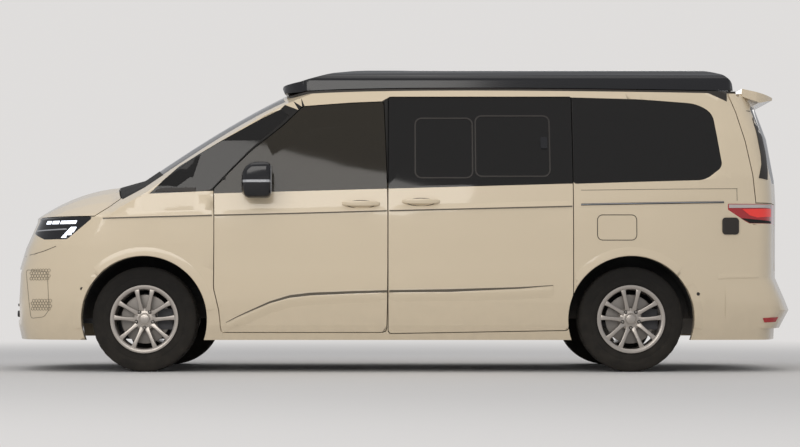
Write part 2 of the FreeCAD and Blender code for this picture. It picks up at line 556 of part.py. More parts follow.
# Body shell: the wall less its openings, with posts, floor, bulkhead and wheel houses
front_removed = below_belt.common(front_zone).fuse(above_bonnet.common(bonnet_plan(0)))
opening_x0, opening_x1 = station(0.40), station(1.05)
roof_opening = box(opening_x0, opening_x1, -D.opening_half_width, D.opening_half_width,
                   height(0.80), D.body_height)
quarter_hole = side_prism(points_of(quarter_pane_shares), D.corner_radius, 0)
front_pane = side_prism(points_of(front_glass_shares), 0, -0.5 * D.wall)
side_tools = [door_hole, slider_hole, rear_glass_tool.common(glass_bed), front_glass_tool.common(glass_bed),
              quarter_hole, front_pane, tail_lamp_tool, arch_rear]
shell_tools = [front_removed, cowl_region, screen_hole, glass_bed.common(screen_tool), gate_hole, rear_seam,
               roof_opening] + side_tools + [mirrored(tool) for tool in side_tools]
shell = wall.cut(shell_tools)

post_inside = hull(2 * D.wall + D.seam, plain=True)
seated_inside = hull(D.wall + D.seat_gap, plain=True)
frame_ring = inside.cut(post_inside)
front_clear = front_removed.cut(clear_inside)
wells = []
liners = []
liner_rooms = []
for x, depth in ((front_axle_x, D.front_well_depth), (rear_axle_x, D.rear_well_depth)):
    outer_y = -(half_width - D.wall - D.seam)
    inner_y = -half_width + depth
    liner_radius = D.arch_radius + D.liner_gap + D.liner_wall
    well = cylinder_y(D.arch_radius + D.liner_gap, x, D.tyre_radius, -far, inner_y)
    liner = cylinder_y(liner_radius, x, D.tyre_radius, outer_y, inner_y + D.liner_wall).common(clear_inside)
    liner = liner.common(box(station(-1), station(2), -far, far, D.floor_top - D.floor_thick, D.body_height))
    room = cylinder_y(liner_radius + D.seat_gap, x, D.tyre_radius, -far, inner_y + D.liner_wall + D.seat_gap)
    wells += [well, mirrored(well)]
    liners += [liner, mirrored(liner)]
    liner_rooms += [room, mirrored(room)]
side_cutters = [door_hole, turned_edge(D.seam + D.pin_clearance), slider_hole, front_clear, front_pane]
side_cutters += liner_rooms[::2]
hinge_post = frame_ring.common(box(hinge_x - 1.6 * D.wall, hinge_x + 0.4 * D.wall, -far, -deep,
                                   height(0.15), height(0.62)))
middle_post = frame_ring.common(box(station(0.5019) - 0.8 * D.wall, station(0.5019) + 0.8 * D.wall, -far, -deep,
                                    height(0.15), height(0.905)))
roof_rail = frame_ring.common(box(station(0.30), station(0.90), -far, -deep, height(0.885), height(0.915)))
rocker_y = half_width - D.wall - D.rocker_width
rocker_box = box(station(0.13), station(0.87), -far, -rocker_y, height(0.103), D.floor_top)
side_rail = frame_ring.common(box(bulkhead_x + D.bulkhead_thick, hinge_x, -far, -0.72 * half_width,
                                  height(0.52), height(0.62)))
frame_parts = [inside.common(rocker_box), hinge_post, middle_post, roof_rail, side_rail]
roof_band = box(station(-1), station(2), -0.70 * half_width, 0.70 * half_width, height(0.80), D.body_height)
left_shell = shell.cut(roof_band).common(box(station(-1), station(2), -far, 0, 0, D.body_height))
side_frame = frame_parts[0].fuse(frame_parts[1:]).cut(side_cutters)
side_left = left_shell.fuse([side_frame] + [hinge_eye(level) for level in hinge_levels])
roof_panel = shell.common(roof_band).fuse([gate_lug, mirrored(gate_lug)])
kingpin_high = D.tyre_radius + 0.92 * D.disc_radius
arm_slot = box(front_axle_x - 2 * D.arm_half_width, front_axle_x + 2 * D.arm_half_width, -far, -0.43 * half_width,
               0, kingpin_high + 2 * D.arm_thick)
floor_x = bulkhead_x + D.bulkhead_thick
floor = seated_inside.common(box(floor_x, station(1.80), -far, far, D.floor_top - D.floor_thick, D.floor_top))
tow_y = 0.42 * half_width


def along_x(radius, x0, x1, y, z):
    return Part.makeCylinder(radius, x1 - x0, Vector(x0, y, z), Vector(1, 0, 0))


# Threaded sockets for a towing eye: a round boss that ends flush with the bumper, and its hole
rear_socket_z = D.floor_top - D.socket_drop_rear
front_socket_z = D.floor_top - D.socket_drop_front
front_mouth = station(-0.80) - D.socket_proud_front
rear_mouth = station(1.80) + D.socket_proud_rear
rear_root = station(1.80) - D.socket_root
front_root = station(-0.80) + D.socket_root
rear_boss = along_x(D.socket_radius, rear_root, rear_mouth, tow_y, rear_socket_z)
rear_bore = along_x(D.socket_bore_radius, rear_mouth - D.socket_depth, rear_mouth, tow_y, rear_socket_z)
rear_way = along_x(D.socket_radius + D.seam, rear_root, station(2) + D.overrun, tow_y, rear_socket_z)
front_boss = along_x(D.socket_radius, front_mouth, front_root, -tow_y, front_socket_z)
front_bore = along_x(D.socket_bore_radius, front_mouth, front_mouth + D.socket_depth, -tow_y, front_socket_z)
front_way = along_x(D.socket_radius + D.seam, station(-1) - D.overrun, front_root, -tow_y, front_socket_z)
rear_bumper = rear_bumper.cut(rear_way)
bumper = bumper.cut(front_way)
grille = grille.cut(front_way)
arm_slots = [arm_slot, mirrored(arm_slot)]
floor_pan = floor.cut([rocker_box, mirrored(rocker_box)] + wells + liner_rooms + arm_slots)
wheel_houses = Part.Compound([liner.cut(wells + arm_slots) for liner in liners])
floor_pan = floor_pan.fuse(rear_boss).cut(rear_bore)
bulkhead = clear_inside.common(box(bulkhead_x, floor_x, -far, far, D.floor_top - D.floor_thick, height(0.60)))
bulkhead = bulkhead.cut(liner_rooms + arm_slots).fuse([bonnet_lug, mirrored(bonnet_lug)])

add_node("body_side_left", side_left)
add_node("body_side_right", mirrored(side_left))
add_node("roof_panel", roof_panel)
add_node("floor_pan", floor_pan)
add_node("wheel_houses", wheel_houses)
add_node("front_bulkhead", bulkhead)
add_node("bonnet", bonnet)
add_node("cowl_panel", cowl)
add_node("windscreen", windscreen)
add_node("front_bumper", bumper)
add_node("grille", grille)
add_node("headlamps", both_sides(head_lamp))
add_node("tail_lamps", both_sides(tail_lamp))
add_node("rear_bumper", rear_bumper)
add_node("tailgate", gate)
add_node("tailgate_glass", gate_glass)
side_panes = [rear_glass, front_glass, slider_glass]
add_node("side_glass", Part.Compound(side_panes + [mirrored(pane) for pane in side_panes]))

# Lifting roof: side, plan and cross sections meet in one crowned shell
roof_shares = [(0.2820, 0.9150), (0.2750, 0.9405), (0.3177, 0.9503), (0.3827, 0.9799), (0.4237, 0.9874),
               (0.5059, 0.9960), (0.5904, 1.0), (0.8933, 1.0), (1.0775, 0.9985), (1.3619, 0.9935),
               (1.4995, 0.9864), (1.5729, 0.9729), (1.6250, 0.9480), (1.6380, 0.9150)]
roof_radii = [0, 16, 200, 300, 500, 900, 3000, 6000, 6000, 2000, 500, 90, 60, 0]
roof_bottom = height(0.90)


def roof_volume(inset):
    across = D.roof_half_width - inset
    section = [(-across, roof_bottom), (across, roof_bottom), (0.981 * across, height(0.9673) - inset),
               (0.862 * across, height(0.9910) - inset), (0, height(1.001) - inset),
               (-0.862 * across, height(0.9910) - inset), (-0.981 * across, height(0.9673) - inset)]
    low, high = station(0.27), station(1.66)
    body = prism(section, [0, 0, 60, 80, 6000, 80, 60], 0, low, high, axis="x")
    side_view = prism(points_of(roof_shares), roof_radii, -inset, -far, far)
    front, back = station(0.275) + inset, station(1.6380) - inset
    plan = prism([(front, -across), (back, -across), (back, across), (front, across)],
                 [260, 90, 90, 260], 0, 0, D.body_height + D.overrun, axis="z")
    return body.common([side_view]).common(plan)


roof_clear = hull(-D.gutter_thick - D.roof_gap)
pop_roof = roof_volume(0).cut([roof_volume(D.roof_shell_wall), roof_clear])
roof_axis_x = station(1.6380) - 0.45 * D.roof_shell_wall
roof_axis_z = height(0.9395)
roof_pocket = box(roof_axis_x - 3 * D.lug_radius, roof_axis_x + 3 * D.lug_radius, -D.roof_lug_y - D.seam,
                  -D.roof_lug_y + D.lug_width + D.seam, 0, roof_axis_z + D.lug_radius + D.seam)
roof_bore = cylinder_y(D.hinge_pin_radius + D.pin_clearance, roof_axis_x, roof_axis_z,
                       -D.roof_lug_y - 1.5 * D.lug_width - D.pin_clearance,
                       -D.roof_lug_y + 2.5 * D.lug_width + D.pin_clearance)
pop_roof = pop_roof.cut([roof_pocket, mirrored(roof_pocket), roof_bore, mirrored(roof_bore)])
add_node("pop_roof", pop_roof)
ring_outer = [(station(0.290), -0.795 * half_width), (station(1.645), -0.795 * half_width),
              (station(1.645), 0.795 * half_width), (station(0.290), 0.795 * half_width)]
ring_inner = [(station(0.35), -0.66 * half_width), (station(1.30), -0.66 * half_width),
              (station(1.30), 0.66 * half_width), (station(0.35), 0.66 * half_width)]
gutter = hull(-D.gutter_thick).cut(skin)
gutter = gutter.common(prism(ring_outer, [200, 30, 30, 200], 0, height(0.80), D.body_height, axis="z"))
gate_wing = box(station(1.585), station(2), D.roof_half_width - D.seam, far, 0, D.body_height)
gutter = gutter.cut([prism(ring_inner, 60, 0, height(0.80), D.body_height, axis="z"), gate_hole,
                     gate_wing, mirrored(gate_wing)])
roof_lug = box(roof_axis_x - D.lug_radius, roof_axis_x + 0.5 * D.lug_radius, -D.roof_lug_y, -D.roof_lug_y + D.lug_width,
               height(0.90), roof_axis_z).cut(skin)
roof_lug = roof_lug.fuse([cylinder_y(D.lug_radius, roof_axis_x, roof_axis_z, -D.roof_lug_y,
                                     -D.roof_lug_y + D.lug_width).cut(skin),
                          cylinder_y(D.hinge_pin_radius, roof_axis_x, roof_axis_z, -D.roof_lug_y - 1.5 * D.lug_width,
                                     -D.roof_lug_y + 2.5 * D.lug_width)])
gutter = gutter.fuse([roof_lug, mirrored(roof_lug)])
add_node("roof_gutter", gutter)
bellows_x0, bellows_x1 = opening_x0 - D.wall / 2, opening_x1 + D.wall / 2
bellows_half = D.opening_half_width + D.wall / 2
bellows = box(bellows_x0, bellows_x1, -bellows_half, bellows_half, height(0.91), height(0.935) + D.bellows_height)
bellows = bellows.cut([box(bellows_x0 + D.bellows_wall, bellows_x1 - D.bellows_wall, -bellows_half + D.bellows_wall,
                           bellows_half - D.bellows_wall, 0, D.body_height), hull(-D.seat_gap)])
add_node("roof_bellows", bellows)

# Mirrors on the front doors
mirror_x = station(0.198)
mirror_z = height(0.5715)
mirror_side_shares = [(0.0, 0.30), (0.12, 0.0), (0.90, 0.0), (1.0, 0.16), (1.0, 0.86), (0.86, 1.0), (0.30, 1.0)]
mirror_side = [(mirror_x + a * D.mirror_length, mirror_z + b * D.mirror_height) for a, b in mirror_side_shares]
mirror_out = -half_width - 1.1 * D.mirror_width
mirror = prism(mirror_side, [60, 20, 20, 30, 30, 30, 60], 0, mirror_out + 0.18 * D.mirror_width,
               mirror_out + D.mirror_width)
mirror_cap = prism(mirror_side, [60, 20, 20, 30, 30, 30, 60], 0, mirror_out, mirror_out + 0.18 * D.mirror_width,
                   -0.13 * D.mirror_width, 0)
mirror_foot = box(mirror_x + 0.3 * D.mirror_length, mirror_x + 0.75 * D.mirror_length,
                  -half_width - 0.4 * D.mirror_width, -0.9 * half_width, mirror_z - 0.14 * D.mirror_height,
                  mirror_z + 0.14 * D.mirror_height).cut(skin)
mirror = mirror.fuse([mirror_cap, mirror_foot])

for side, suffix in ((LEFT, "left"), (RIGHT, "right")):
    def turned(shape):
        return shape if side == LEFT else mirrored(shape)
    add_node("fender_" + suffix, turned(fender_left))
    add_node("front_door_" + suffix, turned(door))
    add_node("front_door_glass_" + suffix, turned(door_glass))
    add_node("sliding_door_" + suffix, turned(slider))
    add_node("mirror_" + suffix, turned(mirror))

# Wheels, modelled on the Y axis with the outer face at -Y
SHOULDER_SHARE = 0.435
RIM_LIP_SHARE = 0.02
BARREL_SHARE = 0.932


def tyre_shape():
    """Side walls that slope in towards the shoulders, and a bore seated on the rim's barrel."""
    bore_radius = BARREL_SHARE * D.rim_radius + D.seat_gap
    profile = [(-D.tyre_width / 2, bore_radius), (-SHOULDER_SHARE * D.tyre_width, D.tyre_radius)]
    profile += [(-y, r) for y, r in profile[::-1]]
    corners = [Vector(0, y, r) for y, r in profile]
    return Part.Face(Part.makePolygon(corners + corners[:1])).revolve(Vector(0, 0, 0), Vector(0, 1, 0), 360)


def rim_shape():
    half = D.rim_width / 2
    lip = RIM_LIP_SHARE * D.rim_width
    barrel_out, barrel_in = BARREL_SHARE * D.rim_radius, 0.89 * D.rim_radius
    face_y = -0.36 * D.rim_width
    out = D.tyre_width / 2 + D.seat_gap
    profile = [(-out - lip, D.rim_radius), (-out, D.rim_radius), (-out, barrel_out), (half, barrel_out),
               (half, barrel_in), (-out - lip, barrel_in)]
    corners = [Vector(0, y, r) for y, r in profile]
    barrel = Part.Face(Part.makePolygon(corners + corners[:1])).revolve(Vector(0, 0, 0), Vector(0, 1, 0), 360)
    hub = cylinder_y(0.30 * D.rim_radius, 0, 0, face_y, -0.05 * D.rim_width)
    disc = cylinder_y(D.disc_radius, 0, 0, -0.18 * D.rim_width, -0.18 * D.rim_width + D.disc_thick)
    spokes = []
    for pair in range(5):
        for lean in (-1, 1):
            inner, outer = 0.18 * D.rim_radius, 0.91 * D.rim_radius
            spread_in, spread_out = 0.10 * D.rim_radius, 0.24 * D.rim_radius
            wide_in, wide_out = 0.085 * D.rim_radius, 0.055 * D.rim_radius
            corners = [(lean * spread_in - wide_in, inner), (lean * spread_in + wide_in, inner),
                       (lean * spread_out + wide_out, outer), (lean * spread_out - wide_out, outer)]
            spoke = prism(corners, 0, 0, face_y - 0.06 * D.rim_width, face_y + 0.11 * D.rim_width)
            spoke = spoke.rotate(Vector(0, 0, 0), Vector(0, 1, 0), 72 * pair)
            spokes.append(spoke)
    bore = cylinder_y(D.stub_radius + D.pin_clearance, 0, 0, -0.20 * D.rim_width, half)
    ring = cylinder_y(barrel_out - 0.5 * (barrel_out - barrel_in), 0, 0, -half, half)
    return barrel.fuse([hub, disc] + [spoke.common(ring) for spoke in spokes]).cut(bore)


tyre = tyre_shape()
rim = rim_shape()


def caliper_shape():
    low, high = -0.18 * D.rim_width, -0.18 * D.rim_width + D.disc_thick
    block = box(0.50 * D.disc_radius, 1.12 * D.disc_radius, low - 0.3 * D.disc_thick, high + 0.6 * D.disc_thick,
                -0.42 * D.disc_radius, 0.42 * D.disc_radius)
    slot = cylinder_y(D.disc_radius + D.seam, 0, 0, low - 0.2 * D.disc_thick, high + 0.2 * D.disc_thick)
    return block.cut(slot)


def knuckle_shape():
    """Upright, stub axle and caliper; the kingpin is inboard of the wheel's middle plane."""
    post = cylinder_z(D.kingpin_radius, 0, D.kingpin_offset, -0.62 * D.disc_radius, 0.92 * D.disc_radius)
    stub = cylinder_y(D.stub_radius, 0, 0, -0.19 * D.rim_width, D.kingpin_offset)
    plate = box(-D.kingpin_radius, 0.95 * D.disc_radius, D.kingpin_offset - D.kingpin_radius,
                D.kingpin_offset, -0.30 * D.disc_radius, 0.30 * D.disc_radius)
    caliper = caliper_shape()
    link = box(0.60 * D.disc_radius, 0.95 * D.disc_radius, 0.2 * D.disc_thick, D.kingpin_offset,
               -0.30 * D.disc_radius, 0.30 * D.disc_radius).cut(
        cylinder_y(D.disc_radius + D.seam, 0, 0, -D.rim_width, -0.18 * D.rim_width + 1.2 * D.disc_thick))
    bore = cylinder_z(0.5 * D.kingpin_radius + D.pin_clearance, 0, D.kingpin_offset, -D.disc_radius, D.disc_radius)
    return post.fuse([stub, plate, caliper, link]).cut(bore)


wheel_rows = {"front": (front_axle_x, D.track_front / 2), "rear": (rear_axle_x, D.track_rear / 2)}
for row_name, (x, y) in wheel_rows.items():
    for side, suffix in ((LEFT, "left"), (RIGHT, "right")):
        for kind, shape in (("tyre", tyre), ("rim", rim)):
            placed = shape.copy()
            placed.translate(Vector(x, -y, D.tyre_radius))
            add_node("%s_%s_%s" % (kind, row_name, suffix), placed if side == LEFT else mirrored(placed))
        if row_name == "front":
            upright = knuckle_shape()
            upright.translate(Vector(x, -y, D.tyre_radius))
            add_node("knuckle_" + suffix, upright if side == LEFT else mirrored(upright))

# Front subframe with its feet under the floor and the arms that hold the uprights
kingpin_y = D.track_front / 2 - D.kingpin_offset
kingpin_low = D.tyre_radius - 0.62 * D.disc_radius
kingpin_high = D.tyre_radius + 0.92 * D.disc_radius
rail_y = 0.42 * half_width
rails = [box(station(-0.80), front_axle_x + D.arm_half_width, -rail_y - D.wall, -rail_y, D.floor_top - 1.3 * D.wall,
             D.floor_top - 0.3 * D.wall)]
rails.append(mirrored(rails[0]))
cross_front = box(station(-0.80), station(-0.74), -0.56 * half_width, 0.56 * half_width,
                  D.floor_top - 1.6 * D.wall, D.floor_top + 0.4 * D.wall)
cross_low = box(front_axle_x - 6 * D.wall, front_axle_x + 2 * D.wall, -rail_y - D.wall, rail_y + D.wall,
                kingpin_low - 0.6 * D.wall, D.floor_top - 1.3 * D.wall)
arms = []
for side in (LEFT, RIGHT):
    for top, level in ((False, kingpin_low), (True, kingpin_high)):
        low = level + D.seat_gap if top else level - D.seat_gap - D.arm_thick
        reach = sorted((side * rail_y, side * (kingpin_y + D.kingpin_radius)))
        arms.append(box(front_axle_x - D.arm_half_width, front_axle_x + D.arm_half_width, reach[0], reach[1],
                        low, low + D.arm_thick))
        pin_low = level - 2 * D.arm_thick if top else level - D.seat_gap
        arms.append(cylinder_z(0.5 * D.kingpin_radius, front_axle_x, side * kingpin_y, pin_low,
                               pin_low + 2 * D.arm_thick + D.seat_gap))
    tower = sorted((side * (rail_y + D.wall), side * rail_y))
    arms.append(box(front_axle_x - D.wall, front_axle_x + D.arm_half_width, tower[0], tower[1],
                    D.floor_top - 1.3 * D.wall, kingpin_high + D.arm_thick + D.seat_gap))
foot = box(front_axle_x, floor_x + 2 * D.wall, -rail_y - D.wall, -rail_y, D.floor_top - 1.3 * D.wall,
           D.floor_top - D.floor_thick - D.seat_gap)
feet = [foot, mirrored(foot)]
subframe = rails[0].fuse([rails[1], cross_front, cross_low, front_boss] + feet + arms).cut(front_bore)
add_node("front_subframe", subframe)

# Rear axle beam, stubs, calipers and springs
rear_y = D.track_rear / 2
beam = box(rear_axle_x - 1.2 * D.wall, rear_axle_x + 0.2 * D.wall, -rear_y + 1.2 * D.kingpin_offset,
           rear_y - 1.2 * D.kingpin_offset, D.tyre_radius - D.wall, D.tyre_radius - D.wall + 0.62 * D.wall)
axle_parts = []
for side in (LEFT, RIGHT):
    hub = cylinder_y(D.stub_radius, 0, 0, -0.19 * D.rim_width, D.kingpin_offset + 2 * D.kingpin_radius)
    plate = box(-1.3 * D.wall, 0.95 * D.disc_radius, D.kingpin_offset, D.kingpin_offset + D.kingpin_radius,
                -0.45 * D.disc_radius, 0.30 * D.disc_radius)
    link = box(0.60 * D.disc_radius, 0.95 * D.disc_radius, 0.2 * D.disc_thick, D.kingpin_offset,
               -0.30 * D.disc_radius, 0.30 * D.disc_radius).cut(
        cylinder_y(D.disc_radius + D.seam, 0, 0, -D.rim_width, -0.18 * D.rim_width + 1.2 * D.disc_thick))
    half_axle = hub.fuse([plate, caliper_shape(), link])
    half_axle.translate(Vector(rear_axle_x, -rear_y, D.tyre_radius))
    spring = cylinder_z(0.8 * D.wall, rear_axle_x - 0.5 * D.wall, -rear_y + 3.3 * D.kingpin_offset,
                        D.tyre_radius - 0.5 * D.wall, D.floor_top - D.floor_thick - D.seat_gap)
    half_axle = half_axle.fuse(spring)
    axle_parts.append(half_axle if side == LEFT else mirrored(half_axle))
add_node("rear_axle", beam.fuse(axle_parts))

# Heavy and low pieces
engine = box(station(-0.56), station(-0.12), -0.33 * half_width, 0.33 * half_width,
             D.floor_top - 1.3 * D.wall + D.seat_gap, height(0.46))
add_node("engine_block", engine)
under = D.floor_top - D.floor_thick - D.seat_gap
tank = box(station(0.42), station(0.66), -0.5 * half_width, 0.1 * half_width, under - 2 * D.wall, under)
silencer = box(station(1.22), station(1.55), 0.15 * half_width, 0.62 * half_width, under - 1.9 * D.wall, under)
tail_pipe = cylinder_y(0.5 * D.wall, station(1.4), under - D.wall, 0.62 * half_width - D.seat_gap, 0.70 * half_width)
add_node("tank_and_silencer", Part.Compound([tank, silencer.fuse(tail_pipe)]))

# Cabin pieces that show through the glass
dash_shares = [(0.0600, 0.5820), (0.1350, 0.5600), (0.1500, 0.5100), (0.1150, 0.4500), (0.0900, 0.3200)]
dash_x = bulkhead_x + D.bulkhead_thick + D.seat_gap
dash_outline = [(dash_x, height(0.3200)), (dash_x, height(0.5820))] + points_of(dash_shares)
dash = clear_inside.common(cross_prism(dash_outline, [0, 0, 200, 60, 60, 60, 0], 0))
dash_well = cylinder_y(D.arch_radius + 2 * D.liner_gap + D.liner_wall, front_axle_x, D.tyre_radius, -far,
                       -half_width + D.front_well_depth + D.liner_wall + D.liner_gap)
dash = dash.cut([frame_ring, dash_well, mirrored(dash_well)])
seat_y = 0.43 * half_width
front_seat_x = station(0.26)


def seat_shape(x, y):
    """Cushion, backrest and headrest in one padded body."""
    half = D.seat_width / 2
    cushion_z = D.floor_top + D.seat_base_height + D.seat_gap
    back_x = x + D.seat_depth
    cushion = box(x, back_x, y - half, y + half, cushion_z, cushion_z + D.cushion_thick)
    back = slab([(back_x - D.backrest_thick, cushion_z + 0.2 * D.cushion_thick),
                 (back_x + 0.2 * D.backrest_thick, cushion_z + 0.2 * D.cushion_thick),
                 (back_x + 1.5 * D.backrest_thick, cushion_z + D.backrest_height),
                 (back_x + 0.5 * D.backrest_thick, cushion_z + D.backrest_height)], y - half, y + half)
    head_z = cushion_z + D.backrest_height
    head = box(back_x + 0.5 * D.backrest_thick, back_x + 1.4 * D.backrest_thick, y - 0.5 * half, y + 0.5 * half,
               head_z - D.overrun / 4, head_z + D.headrest_height)
    return cushion.fuse([back, head])


def seat_base(x, y):
    half = 0.38 * D.seat_width
    return box(x + 0.12 * D.seat_depth, x + 0.88 * D.seat_depth, y - half, y + half, D.floor_top + D.seat_gap,
               D.floor_top + D.seat_base_height)


front_places = [(front_seat_x, -seat_y), (front_seat_x, seat_y)]
rear_places = [(station(0.66), -0.07 * half_width), (station(0.66), 0.56 * half_width)]
add_node("seats", Part.Compound([seat_shape(*place) for place in front_places + rear_places]))
add_node("seat_bases", Part.Compound([seat_base(*place) for place in front_places + rear_places]))
kitchen_x0, kitchen_x1 = station(0.885), station(1.58)
kitchen_y = -half_width + 2 * D.wall + 2 * D.seam
kitchen = post_inside.common(box(kitchen_x0, kitchen_x1, -far, kitchen_y + D.kitchen_width, D.floor_top + D.seat_gap,
                                 D.floor_top + D.kitchen_height))
well_cut = cylinder_y(D.arch_radius + 2 * D.liner_gap + D.liner_wall, rear_axle_x, D.tyre_radius, -far,
                      -half_width + D.rear_well_depth + D.liner_wall + D.liner_gap)
add_node("kitchen_unit", kitchen.cut(well_cut))

# Steering wheel on its column
column_x, column_y, column_z = station(0.175), -seat_y, height(0.50)
tilt = math.radians(D.steering_tilt)
column_axis = Vector(-math.cos(tilt), 0, -math.sin(tilt))
wheel_centre = Vector(column_x, column_y, column_z)
ring_low = wheel_centre - column_axis * D.steering_rim_radius
ring = Part.makeCylinder(D.steering_wheel_radius, 2 * D.steering_rim_radius, ring_low, column_axis)
ring = ring.cut(Part.makeCylinder(D.steering_wheel_radius - 2 * D.steering_rim_radius, 2 * D.steering_rim_radius,
                                  ring_low, column_axis))
boss = Part.makeCylinder(0.32 * D.steering_wheel_radius, 2.6 * D.steering_rim_radius,
                         wheel_centre - column_axis * D.steering_rim_radius, column_axis)
shaft = Part.makeCylinder(D.steering_rim_radius, 0.55 * D.steering_wheel_radius, wheel_centre, column_axis)
spoke_ways = [Vector(0, -1, 0), Vector(0, 1, 0), column_axis.cross(Vector(0, 1, 0)) * -1]
spoke_length = D.steering_wheel_radius - D.steering_rim_radius
spokes = [Part.makeCylinder(0.9 * D.steering_rim_radius, spoke_length, wheel_centre, way) for way in spoke_ways]
add_node("steering_wheel", ring.fuse([boss, shaft] + spokes))
shaft_end = wheel_centre + column_axis * (0.55 * D.steering_wheel_radius + D.seat_gap)
column = Part.makeCylinder(1.6 * D.steering_rim_radius, 1.1 * D.steering_wheel_radius, shaft_end, column_axis)
add_node("dashboard", dash.fuse(column))

doc.recompute()
faults = 0
for feature in nodes:
    state = feature.State
    if feature.Shape.isNull() or not feature.Shape.isValid() or "Invalid" in state or "Error" in state:
        faults += 1
        print("FAULT", feature.Label, state)
    print(feature.Label, len(feature.Shape.Solids), round(feature.Shape.Volume / 1e9, 5))
for feature in nodes:
    feature.Shape.exportStep("parts/%s.step" % feature.Label)
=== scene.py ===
import json
import math

import bpy
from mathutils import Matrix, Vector


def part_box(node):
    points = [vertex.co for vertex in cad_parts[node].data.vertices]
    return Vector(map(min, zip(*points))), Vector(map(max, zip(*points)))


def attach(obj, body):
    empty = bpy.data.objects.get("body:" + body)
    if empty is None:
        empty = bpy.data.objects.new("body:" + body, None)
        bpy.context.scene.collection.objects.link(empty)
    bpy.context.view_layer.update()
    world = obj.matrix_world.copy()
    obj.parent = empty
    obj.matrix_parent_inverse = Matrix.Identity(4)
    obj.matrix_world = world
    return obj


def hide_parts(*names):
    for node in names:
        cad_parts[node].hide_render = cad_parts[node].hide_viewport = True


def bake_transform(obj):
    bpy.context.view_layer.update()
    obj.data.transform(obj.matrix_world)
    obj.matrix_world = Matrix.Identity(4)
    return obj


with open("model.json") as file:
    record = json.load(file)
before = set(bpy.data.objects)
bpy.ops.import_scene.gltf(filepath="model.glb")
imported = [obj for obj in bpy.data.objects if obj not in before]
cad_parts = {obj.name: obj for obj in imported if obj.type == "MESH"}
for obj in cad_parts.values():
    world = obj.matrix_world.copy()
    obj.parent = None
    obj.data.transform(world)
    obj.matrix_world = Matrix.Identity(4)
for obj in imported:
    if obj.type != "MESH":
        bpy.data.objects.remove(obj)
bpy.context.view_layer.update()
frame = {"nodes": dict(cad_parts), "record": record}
RECORD = frame["record"]
BODY_OF = {node: body for body, nodes in RECORD["behaviour"]["bodies"].items() for node in nodes}
SIDES = ("left", "right")


def centre_of(node):
    low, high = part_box(node)
    return (low + high) / 2


# Driving sizes, from the frame
FRONT_WHEEL = centre_of("rim_front_left")
REAR_WHEEL = centre_of("rim_rear_left")
WHEELBASE = REAR_WHEEL.x - FRONT_WHEEL.x
FRONT_OVERHANG, REAR_OVERHANG = 0.945, 1.104
TYRE_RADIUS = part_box("tyre_front_left")[1].z / 2
ROOF_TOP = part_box("pop_roof")[1].z

# Outlines are drawn beside, ahead of or behind the van; a point left beyond the limit has missed its panel
DRAWING_Y, AHEAD_X, BEHIND_X = -1.4, -2.7, 2.7
MISSED_Y = -1.3


# Selecting, shaping and placing
def deselect():
    bpy.ops.object.select_all(action="DESELECT")


def active(obj):
    deselect()
    obj.select_set(True)
    bpy.context.view_layer.objects.active = obj
    return obj


def applied():
    bpy.ops.object.transform_apply(location=True, rotation=True, scale=True)


def newest(name):
    obj = bpy.context.object
    obj.name = name
    obj.data.name = name
    return obj


def edit(obj, kind="VERT"):
    """Edit mode with everything selected, until leave is called."""
    active(obj)
    bpy.ops.object.mode_set(mode="EDIT")
    bpy.ops.mesh.select_mode(type=kind)
    bpy.ops.mesh.select_all(action="SELECT")


def leave():
    bpy.ops.object.mode_set(mode="OBJECT")


def choose(obj, kind, test):
    """Selects the vertices or faces that pass a test, on an active object that stays in edit mode."""
    leave()
    for part in (*obj.data.vertices, *obj.data.edges, *obj.data.polygons):
        part.select = False
    bpy.ops.object.mode_set(mode="EDIT")
    bpy.ops.mesh.select_mode(type="FACE" if kind == "faces" else "VERT")
    leave()
    for part in (obj.data.polygons if kind == "faces" else obj.data.vertices):
        part.select = test(part)
    bpy.ops.object.mode_set(mode="EDIT")


def removed(obj, kind, test):
    choose(obj, kind, test)
    bpy.ops.mesh.delete(type="FACE" if kind == "faces" else "VERT")
    leave()


def shifted(obj, by, test):
    choose(obj, "vertices", test)
    bpy.ops.transform.translate(value=by)
    leave()


def whole(obj, operator, **values):
    """Runs one operator on everything in a mesh."""
    edit(obj)
    operator(**values)
    leave()


def moved(obj, by):
    whole(obj, bpy.ops.transform.translate, value=by)


def turned(obj, angle, axis, centre=(0, 0, 0)):
    whole(obj, bpy.ops.transform.rotate, value=angle, orient_axis=axis, center_override=centre)


def bisected(obj, at, normal, **settings):
    whole(obj, bpy.ops.mesh.bisect, plane_co=at, plane_no=normal, **settings)


def sliced(obj, axis, places):
    """Cuts a mesh across an axis at some places."""
    for place in places:
        at, normal = [0, 0, 0], [0, 0, 0]
        at[axis], normal[axis] = place, 1
        bisected(obj, at, normal)


def modifier(obj, kind, **values):
    active(obj)
    made = obj.modifiers.new(kind.lower(), kind)
    for key, value in values.items():
        setattr(made, key, value)
    bpy.ops.object.modifier_apply(modifier=made.name)
    return obj


def bevelled(obj, width, segments=2, angle=30):
    """Rounds the edges that turn by more than an angle."""
    return modifier(obj, "BEVEL", width=width, segments=segments, limit_method="ANGLE",
                    angle_limit=math.radians(angle))


def smooth(obj, angle=30):
    active(obj)
    bpy.ops.object.shade_smooth_by_angle(angle=math.radians(angle))
    return obj


def finished(obj, material, body, replaces=(), angle=30):
    """Gives a piece its finish, its body and its place in its mesh."""
    active(obj)
    applied()
    obj.data.materials.clear()
    obj.data.materials.append(material)
    smooth(obj, angle)
    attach(obj, body)
    if replaces:
        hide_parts(*replaces)
    return obj


def on_both_sides(obj, material, body, replaces=(), angle=30):
    """Finishes a piece of the left side and its twin on the right."""
    twin = mirrored(obj, obj.name.replace("left", "right"))
    for piece, side in ((obj, "left"), (twin, "right")):
        nodes = [node.replace("left", side) for node in replaces]
        finished(piece, material, body.replace("left", side), nodes, angle)


